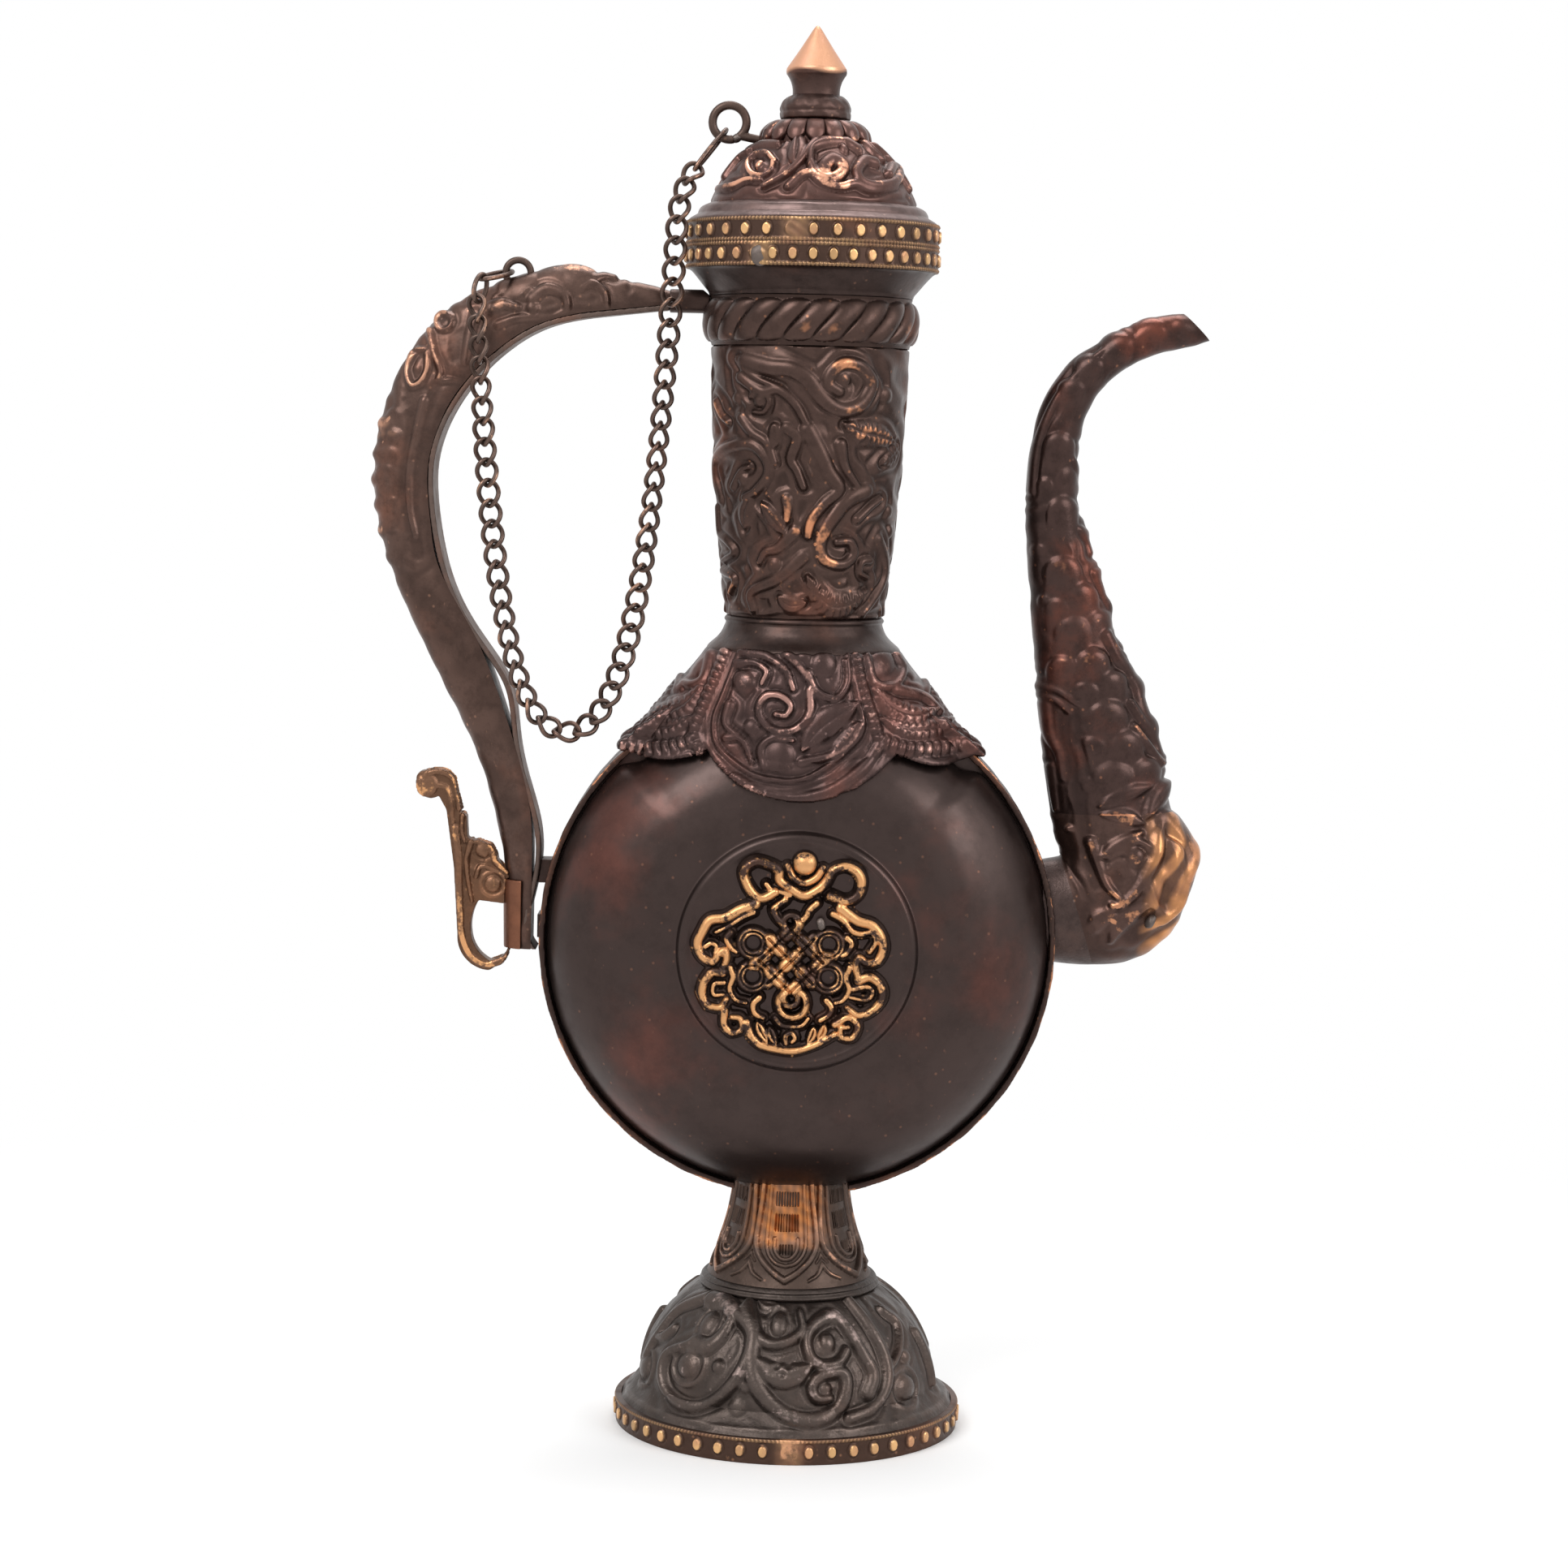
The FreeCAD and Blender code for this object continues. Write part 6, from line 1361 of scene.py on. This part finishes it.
handle_strokes = [
    ("stroke", tuple(ring_points((322, 290), 30, 10)), 0.6, 0.55), ("pit", ((322, 290),), 0.6, 0.5),
    ("stroke", ((222, 395), (258, 400), (262, 455), (240, 510), (205, 525), (188, 480), (200, 420),
               (222, 395)), 0.7, 0.55), ("pit", ((222, 462),), 0.8, 0.35),
    ("boss", ((222, 462),), 0.45, 0.3), ("cut", ((212, 405), (255, 398)), 0.4, 0.4),
    ("cut", ((192, 548), (242, 535)), 0.5, 0.45), ("cut", ((192, 580), (238, 570)), 0.5, 0.4),
    ("stroke", ((268, 325), (285, 400), (312, 470), (300, 508)), 0.9, 0.5, 0.6),
    ("stroke", ((300, 510), (350, 505), (415, 520)), 0.6, 0.4, 0.4),
    ("cut", ((362, 345), (402, 335)), 0.35, 0.3), ("cut", ((360, 372), (408, 356)), 0.35, 0.3),
    ("cut", ((362, 398), (412, 380)), 0.35, 0.3), ("cut", ((370, 418), (412, 400)), 0.35, 0.3),
    ("cut", ((300, 512), (262, 620), (232, 750), (212, 880), (208, 1000), (228, 1150)), 0.55, 0.45),
    ("cut", ((222, 590), (205, 700), (182, 850), (188, 970), (204, 1060)), 0.5, 0.35),
    ("stroke", ((250, 580), (222, 700), (196, 840), (198, 980), (218, 1080)), 0.9, 0.35, 0.6),
    ("scale", ((112, 668),), 2.0, 0.4), ("scale", ((136, 720),), 2.2, 0.45),
    ("scale", ((96, 722),), 2.0, 0.4), ("scale", ((122, 785),), 2.3, 0.45),
    ("scale", ((88, 790),), 1.8, 0.4), ("scale", ((104, 850),), 2.4, 0.45),
    ("scale", ((140, 640),), 2.0, 0.4), ("scale", ((98, 915),), 2.2, 0.4),
    ("scale", ((125, 965),), 2.2, 0.35), ("scale", ((108, 1030),), 2.2, 0.35),
    ("scale", ((140, 1090),), 2.2, 0.3), ("boss", ((620, 145),), 1.9, 0.5),
    ("boss", ((735, 130),), 2.4, 0.55), ("boss", ((800, 110),), 2.2, 0.6), ("pit", ((702, 215),), 1.8, 0.4),
    ("boss", ((650, 238),), 0.7, 0.5), ("boss", ((560, 150),), 1.6, 0.45),
    ("stroke", ((648, 205), (700, 168), (762, 188), (775, 245), (740, 270)), 1.3, 0.6, 0.8),
    ("stroke", ((838, 165), (870, 152), (912, 182), (925, 235)), 1.2, 0.55, 0.6),
    ("pit", ((868, 195),), 1.0, 0.4),
    ("stroke", ((520, 300), (600, 275), (700, 275), (820, 262), (940, 262)), 0.9, 0.35, 0.5),
    ("stroke", ((500, 240), (540, 225), (590, 235)), 1.6, 0.5, 0.8),
    ("stroke", ((610, 190), (640, 165), (660, 200)), 0.8, 0.5, 0.5),
    ("stroke", ((440, 260), (420, 330), (400, 440)), 1.4, 0.35, 0.7),
    ("stroke", ((880, 130), (920, 118), (950, 125)), 1.0, 0.45, 0.6),
]


def handle_point(x_share, rise_share):
    return -(BODY_RADIUS + (x_share - 0.3795) * HANDLE_SPREAD), HANDLE_FOOT + rise_share * HANDLE_HEIGHT


def handle_rings(sections, columns, inset):
    """Half oval on the outer side, closed by a flat across the strip."""
    low, high = sections[:, None, 0:2], sections[:, None, 2:4]
    span = high - low
    reach = np.linalg.norm(span, axis=2, keepdims=True)
    out = span / reach
    turn = np.linspace(0, math.pi, columns)[None, :, None]
    half = sections[:, None, 4:5] * HANDLE_DEPTH / 2 - inset
    base = low + out * HANDLE_STRIP
    arch = base + out * (np.maximum(reach - HANDLE_STRIP - inset, 0.3) * np.sin(turn) + inset * 0.3)
    depth = -half * np.cos(turn)
    oval = np.concatenate([arch[:, :, 0:1], depth, arch[:, :, 1:2]], axis=2)
    share = np.linspace(0, 1, columns // 3)[1:-1][None, :, None]
    flat = oval[:, -1:] * (1 - share) + oval[:, :1] * share
    return np.concatenate([oval, flat], axis=1)


sections, marks, runs = section_frame(handle_stations, handle_point)
grip_outer = handle_rings(sections, GRIP_COLUMNS, 0.0)
grip_inner = handle_rings(sections, GRIP_COLUMNS, RAISED_WALL)
grip_normal = outward(grip_outer)
sheet = Relief(grip_outer[:, :, 0], grip_outer[:, :, 2])
stroke_sheet(sheet, handle_strokes, lambda points: seen(points, -3.0, HANDLE_DRAWING), 1.3, 1.2)
sheet.flow(0.2, 2.4)
half_turn = np.linspace(0, math.pi, GRIP_COLUMNS)
oval_part, crest = np.zeros((2, grip_outer.shape[1]))
oval_part[:GRIP_COLUMNS] = np.clip(np.sin(half_turn) / 0.2, 0, 1)
crest[:GRIP_COLUMNS] = np.exp(-((half_turn - math.pi / 2) / 0.5) ** 2)
fade = np.clip(np.minimum(runs, runs[-1] - runs) / 1.5, 0, 1)[:, None]
knobs = 0.3 * np.clip(np.sin(runs * TURN / 3.1), -0.4, 1)[:, None] * crest[None, :]
knobs *= (np.clip((runs - marks[6]) / 4, 0, 1) * np.clip((marks[9] - runs) / 6, 0, 1))[:, None]
rise = blurred(np.clip(sheet.height, -0.45, 0.7) * fade * oval_part[None, :] + knobs, 2)
grip_worn = np.clip(rise / 0.7 + 0.5 * crest[None, :], 0, 1)
grip_outer = grip_outer + grip_normal * rise[:, :, None]
grip = skin("dragon_grip", grip_outer, grip_inner, grip_worn)
set_in_place(grip, "vessel", GRIP, "dark_copper", "handle_shell")


scroll_strokes = [
    ("stroke", ((92, 262), (112, 218), (160, 212), (205, 235), (222, 285), (228, 350)), 1.1, 0.35, 0.7),
    ("boss", ((108, 262),), 1.5, 0.45),
    ("stroke", ((150, 262), (180, 270), (198, 320), (205, 400)), 0.7, 0.3, 0.5),
    ("stroke", ((240, 368), (238, 430), (248, 470)), 0.7, 0.45, 0.5),
    ("stroke", ((212, 420), (226, 520), (228, 640), (232, 740), (238, 820), (268, 890), (325, 925),
               (395, 905), (445, 868)), 1.0, 0.35, 0.8),
    ("stroke", ((270, 475), (255, 540), (262, 620), (275, 690)), 0.9, 0.4, 0.5),
    ("boss", ((352, 628),), 1.1, 0.5, 0.4), ("boss", ((315, 503),), 1.0, 0.45, 0.3),
    ("stroke", ((300, 470), (345, 490), (360, 545), (405, 585)), 0.9, 0.35, 0.6),
    ("stroke", ((290, 600), (310, 560), (380, 590), (410, 640)), 0.7, 0.35, 0.5),
    ("pit", ((290, 540),), 1.0, 0.3),
]
scroll_relief = drawn_on_sides(scroll_strokes, SCROLL_DRAWING, depth=-1.3, full=0.3)
scroll = softened("thumb_scroll", "handle_tail_scroll", 0.13, 7, scroll_relief)
set_in_place(scroll, "vessel", CAST, "bright_brass", "handle_tail_scroll")
for name, node, body, material, slot, voxel, passes in (
        ("inner_strip", "handle_inner_strip", "vessel", PALE, "bright_brass", 0.16, 2),
        ("foot_strap", "handle_ferrule", "vessel", STRAP, "dark_copper", 0.11, 2),
        ("lower_block", "handle_lower_lug", "vessel", PLAIN, "dark_copper", 0.1, 2),
        ("upper_block", "handle_upper_lug", "vessel", PLAIN, "dark_copper", 0.1, 2),
        ("neck_pin", "handle_neck_tenon", "vessel", CHASED, "dark_copper", 0.13, 3),
        ("lid_eye", "lid_chain_loop", "lid", CHAIN, "chain_metal", 0.09, 4),
        ("handle_staple", "handle_chain_loop", "vessel", CHAIN, "chain_metal", 0.08, 4)):
    set_in_place(softened(name, node, voxel, passes), body, material, slot, node)


# The strips round the body stop this far from its middle, at the top and at the bottom
STRIP_GAP = 7.3
STRIP_EDGE = 5.3


def edge_wear(places, normals):
    """Rubbed along both edges of the strip round the body, and a little uneven from planishing."""
    reach = np.hypot(places[:, 0], places[:, 2] - BODY_CENTRE)
    angle = np.arctan2(places[:, 2] - BODY_CENTRE, places[:, 0])
    rim = np.clip((np.abs(places[:, 1]) - STRIP_EDGE) / 0.7, 0, 1) * np.clip((reach - 32.6) / 0.3, 0, 1)
    patch = 0.5 + 0.5 * np.sin(angle * 23 + np.sin(angle * 9) * 2)
    wave = 0.05 * np.sin(angle * 40 + places[:, 1] * 0.5) * np.sin(angle * 13)
    return wave, rim * (0.5 + 0.5 * patch)


for side, way in (("handle", 1), ("spout", -1)):
    node = "edge_band_%s_side" % side
    strip = softened("rim_strip_%s_side" % side, node, 0.2, 3, edge_wear,
                     planes=(((-way * STRIP_GAP, 0, 0), (way, 0, 0)),))
    set_in_place(strip, "vessel", RIM, "dark_copper", node)


# Chain: every solid link is swept again as a smooth twisted wire

CHAIN_WIRE, LINK_TWIST = 0.62, 45.0
LONG_LINK, LONG_WIDTH, SHORT_WIDTH = 1.75, 3.2, 3.1


def solid_parts(node):
    """Corner points of every separate solid of a node, in millimetres."""
    shape = bmesh.new()
    shape.from_mesh(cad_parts[node].data)
    bmesh.ops.remove_doubles(shape, verts=shape.verts, dist=0.003 * MM)
    shape.verts.ensure_lookup_table()
    seen_already, parts = set(), []
    for start in shape.verts:
        if start.index in seen_already:
            continue
        seen_already.add(start.index)
        queue, part = [start], []
        while queue:
            corner = queue.pop()
            part.append(tuple(corner.co / MM))
            for edge in corner.link_edges:
                other = edge.other_vert(corner)
                if other.index not in seen_already:
                    seen_already.add(other.index)
                    queue.append(other)
        parts.append(np.array(part))
    shape.free()
    return parts


def smooth_link(corners, steps=44, sides=12):
    """Rings of a round wire along the link that the corner points outline."""
    middle = corners.mean(0)
    _, axes = np.linalg.eigh(np.cov((corners - middle).T))
    axes = axes[:, ::-1]
    if np.linalg.det(axes) < 0:
        axes[:, 2] = -axes[:, 2]
    local = (corners - middle) @ axes
    radius = CHAIN_WIRE / 2
    half_length = np.abs(local[:, 0]).max() - radius
    long_one = half_length > LONG_LINK
    half_width = (LONG_WIDTH if long_one else SHORT_WIDTH) / 2 - radius
    twist = 0.0 if long_one else math.radians(LINK_TWIST)
    angle = np.linspace(0, TURN, steps, endpoint=False)
    lean = twist * np.cos(angle)
    line = np.column_stack([half_length * np.cos(angle), half_width * np.sin(angle) * np.cos(lean),
                            half_width * np.sin(angle) * np.sin(lean)])
    along = np.roll(line, -1, axis=0) - np.roll(line, 1, axis=0)
    along /= np.linalg.norm(along, axis=1, keepdims=True)
    out = line - along * (line * along).sum(1, keepdims=True)
    out /= np.linalg.norm(out, axis=1, keepdims=True)
    aside = np.cross(along, out)
    turn = np.linspace(0, TURN, sides, endpoint=False)[None, :, None]
    ring = line[:, None] + (out[:, None] * np.cos(turn) + aside[:, None] * np.sin(turn)) * radius
    return ring @ axes.T + middle


def smooth_chain(name, node, body):
    """All links of a node in one mesh, worn on the outer side of the wire."""
    places, faces, worn, first = [], [], [], 0
    for corners in solid_parts(node):
        rings = smooth_link(corners)
        steps, sides = rings.shape[:2]
        index = np.arange(steps * sides).reshape(steps, sides) + first
        side, step = np.roll(index, -1, axis=1), np.roll(index, -1, axis=0)
        faces.append(np.stack([index, side, np.roll(step, -1, axis=1), step], axis=2).reshape(-1, 4))
        places.append(rings.reshape(-1, 3))
        share = np.cos(np.linspace(0, TURN, sides, endpoint=False))
        worn.append(np.repeat(np.clip(share, 0, 1)[None, :], steps, axis=0).ravel())
        first += steps * sides
    thing = mesh_piece(name, np.concatenate(places), np.concatenate(faces), np.concatenate(worn))
    return set_in_place(thing, body, CHAIN, "chain_metal", node)


smooth_chain("chain_by_handle", "chain_handle_leg", "vessel")
smooth_chain("chain_lowest_links", "chain_bow", "chain_middle")
smooth_chain("chain_by_lid", "chain_lid_leg", "chain_lid_end")


# Body: two domed shells turned about the axis from front to back

SHELL_FACE = (15.6, 14.6)
FLANGE_EDGE, FLANGE_DEPTH = 32.2, 4.2
CLOSE_SHELL = ((30.4, 6.2), (27.2, 11.2))
FULL_SHELL = ((31.95, 5.8), (28.3, 10.9))
OPEN_FROM, OPEN_OVER = math.radians(41), math.radians(6)


def shell_profile(edge, round_point):
    """Flange, wall, dome and the flat disc in the middle, from the rim inwards."""
    flange = np.linspace((FLANGE_EDGE, FLANGE_DEPTH), (edge[0], FLANGE_DEPTH + 0.05), 8)
    wall = np.linspace((edge[0], FLANGE_DEPTH + 0.25), edge, 8)
    dome = arc(edge, SHELL_FACE, round_point, 90)[1:]
    step = [(15.35, 14.6), (15.2, 14.72), (15.06, 15.0), (14.86, 15.32), (14.55, 15.56), (14.2, 15.64),
            (13.85, 15.56), (13.55, DISC_FACE)]
    disc = np.linspace((13.3, DISC_FACE), (0.05, DISC_FACE), 30)
    return np.concatenate([flange, wall, dome, step, disc])


def body_shell(name, node, way):
    """Full at the rim, except under the shoulder cover, with slight dents of hand raising."""
    angle = np.linspace(0, TURN, 720, endpoint=False) - math.pi
    full = np.clip((np.abs(angle) - OPEN_FROM) / OPEN_OVER, 0, 1)
    full = (full ** 2 * (3 - 2 * full))[None, :, None]
    line = shell_profile(*CLOSE_SHELL)[:, None] * (1 - full) + shell_profile(*FULL_SHELL)[:, None] * full
    radii, depth = line[:, :, 0], line[:, :, 1]
    angles = np.repeat(angle[None, :], len(radii), axis=0)
    dents = (0.07 * np.sin(angles * 3 + radii * 0.2) * np.sin(radii * 0.5 + angles * 2 + 1)
             + 0.03 * np.sin(angles * 11 + radii * 0.9) * np.sin(radii * 1.1 - angles * 4))
    depth = depth + dents * np.clip((radii - 15.6) / 4, 0, 1) * np.clip((30.2 - radii) / 2, 0, 1)
    outer = faced(angles, radii, depth, way)
    # Rubbed colour round the disc's raised edge: partly wear, partly a painted highlight on that edge.
    ring = 0.8 * np.exp(-((radii - 14.4) / 0.3) ** 2)
    back = np.array([(32.15, 3.45), (29.4, 3.45), (29.3, 5.3), (26.3, 10.0), (15.3, 13.7), (0.05, 13.9)])
    angles, radii = np.meshgrid(angle, back[:, 0])
    inner = faced(angles, radii, np.repeat(back[:, 1:], len(angle), axis=1), way)
    thing = skin(name, outer, inner, np.clip(ring, 0, 1))
    return set_in_place(thing, "vessel", BODY, "dark_copper", node)


body_shell("front_shell", "body_front_shell", 1)
body_shell("back_shell", "body_back_shell", -1)


# Lumps of solder left by old repairs

def solder(name, body, centre, sizes, lean):
    shape = bmesh.new()
    bmesh.ops.create_icosphere(shape, subdivisions=3, radius=1.0)
    turn = Matrix.Rotation(-math.radians(lean), 3, "Y")
    for vert in shape.verts:
        x, y, z = vert.co
        swell = 1 + 0.12 * math.sin(3 * x + 2 * z + 1) * math.cos(2 * z - y)
        place = turn @ Vector((x * sizes[0], y * sizes[1], z * sizes[2])) * swell
        vert.co = (Vector(centre) + place) * MM
    mesh = bpy.data.meshes.new(name)
    shape.to_mesh(mesh)
    shape.free()
    finish_mesh(mesh)
    return set_in_place(linked(name, mesh), body, SOLDER, "dark_copper")


# The lump on the beast's head: its place in the drawing of the spout, and its depth
HEAD_SPOT, HEAD_SPOT_DEPTH = (562, 1065), -5.2
head_x, head_height = seen([HEAD_SPOT], HEAD_SPOT_DEPTH, SPOUT_DRAWING)[0]
for name, body, centre, sizes, lean in (
        ("eye_solder", "lid", (-9.95, 0.0, 165.66), (0.85, 0.56, 0.56), 27.0),
        ("band_solder", "vessel", (-6.5, -14.45, 150.35), (1.3, 0.5, 1.35), 12.0),
        ("knot_solder", "vessel", (2.9, -16.4, 67.6), (0.6, 0.5, 0.8), 10.0),
        ("head_solder", "vessel", (head_x, HEAD_SPOT_DEPTH, head_height), (0.65, 1.0, 1.0), -30.0)):
    solder(name, body, centre, sizes, lean)


# Carried pieces keep their own shape and get a finish

def dress(names, material):
    for name in names:
        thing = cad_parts[name]
        thing.data.materials.clear()
        thing.data.materials.append(material)


dress(("body_rim_wall", "lid_inner_collar"), INSIDE)
dress(("finial_rivet",), STRAP)


# Room, lamps and camera; places here are in metres

LAMP_AIM = Vector((0, 0, 0.09))
LIT = 0.55


def floor_material():
    """Pale floor that keeps the shadow round the vessel and fades to the white of the room."""
    material = bpy.data.materials.new("pale_floor")
    material.use_nodes = True
    tree = material.node_tree
    tree.nodes.clear()
    place = tree.nodes.new("ShaderNodeTexCoord").outputs["Object"]
    cloud = noise(tree, place, 3.0, 3.0)
    colour = mixed(tree, cloud, (0.93, 0.93, 0.93, 1.0), (0.96, 0.96, 0.96, 1.0))
    shader = add(tree, "ShaderNodeBsdfPrincipled", None, Base_Color=colour, Roughness=0.9)
    white = add(tree, "ShaderNodeEmission", None, Color=(1.0, 1.0, 1.0, 1.0), Strength=1.0)
    reach = add(tree, "ShaderNodeVectorMath", {"operation": "LENGTH"}, i0=place).outputs["Value"]
    share = maths(tree, "MULTIPLY", seen_directly(tree), stepped(tree, reach, 0.04, 0.22))
    both = add(tree, "ShaderNodeMixShader", None, i0=share, i1=shader.outputs[0], i2=white.outputs[0])
    result = tree.nodes.new("ShaderNodeOutputMaterial")
    tree.links.new(both.outputs[0], result.inputs[0])
    return material


def make_floor():
    mesh = bpy.data.meshes.new("floor")
    shape = bmesh.new()
    bmesh.ops.create_grid(shape, x_segments=8, y_segments=8, size=6.0)
    bmesh.ops.translate(shape, verts=shape.verts, vec=(0, 0, -0.02 * MM))
    shape.to_mesh(mesh)
    shape.free()
    mesh.materials.append(floor_material())
    floor = linked("floor", mesh)


def lamp(name, place, size, power):
    data = bpy.data.lights.new(name, "AREA")
    data.shape = "DISK"
    data.size = size
    data.energy = power
    thing = linked(name, data)
    thing.location = place
    thing.rotation_euler = (LAMP_AIM - Vector(place)).to_track_quat("-Z", "Y").to_euler()


def make_world():
    """White where it is seen, and dimmer as a light."""
    world = bpy.data.worlds.new("studio")
    bpy.context.scene.world = world
    world.use_nodes = True
    tree = world.node_tree
    tree.nodes.clear()
    strength = maths(tree, "ADD", LIT, maths(tree, "MULTIPLY", seen_directly(tree), 1.0 - LIT))
    sky = add(tree, "ShaderNodeBackground", None, Color=(1.0, 1.0, 1.0, 1.0), Strength=strength)
    result = tree.nodes.new("ShaderNodeOutputWorld")
    tree.links.new(sky.outputs[0], result.inputs[0])


def make_camera():
    data = bpy.data.cameras.new("camera")
    data.sensor_width = SENSOR
    data.lens = VIEW_FOCUS * SENSOR / PICTURE
    data.clip_start = 0.01
    camera = linked("camera", data)
    camera.matrix_world = (Matrix.Translation(Vector(VIEW_PLACE) * MM) @ Matrix.Rotation(VIEW_TILT, 4, "X")
                           @ Matrix.Rotation(VIEW_ROLL, 4, "Z"))
    bpy.context.scene.camera = camera


make_floor()
lamp("key_lamp", (-0.45, -0.55, 0.75), 0.6, 5.0)
lamp("fill_lamp", (0.6, -0.4, 0.45), 0.5, 2.5)
lamp("top_lamp", (0.05, 0.25, 0.8), 0.5, 3.0)
make_world()
make_camera()
bpy.context.scene.view_settings.view_transform = "Standard"
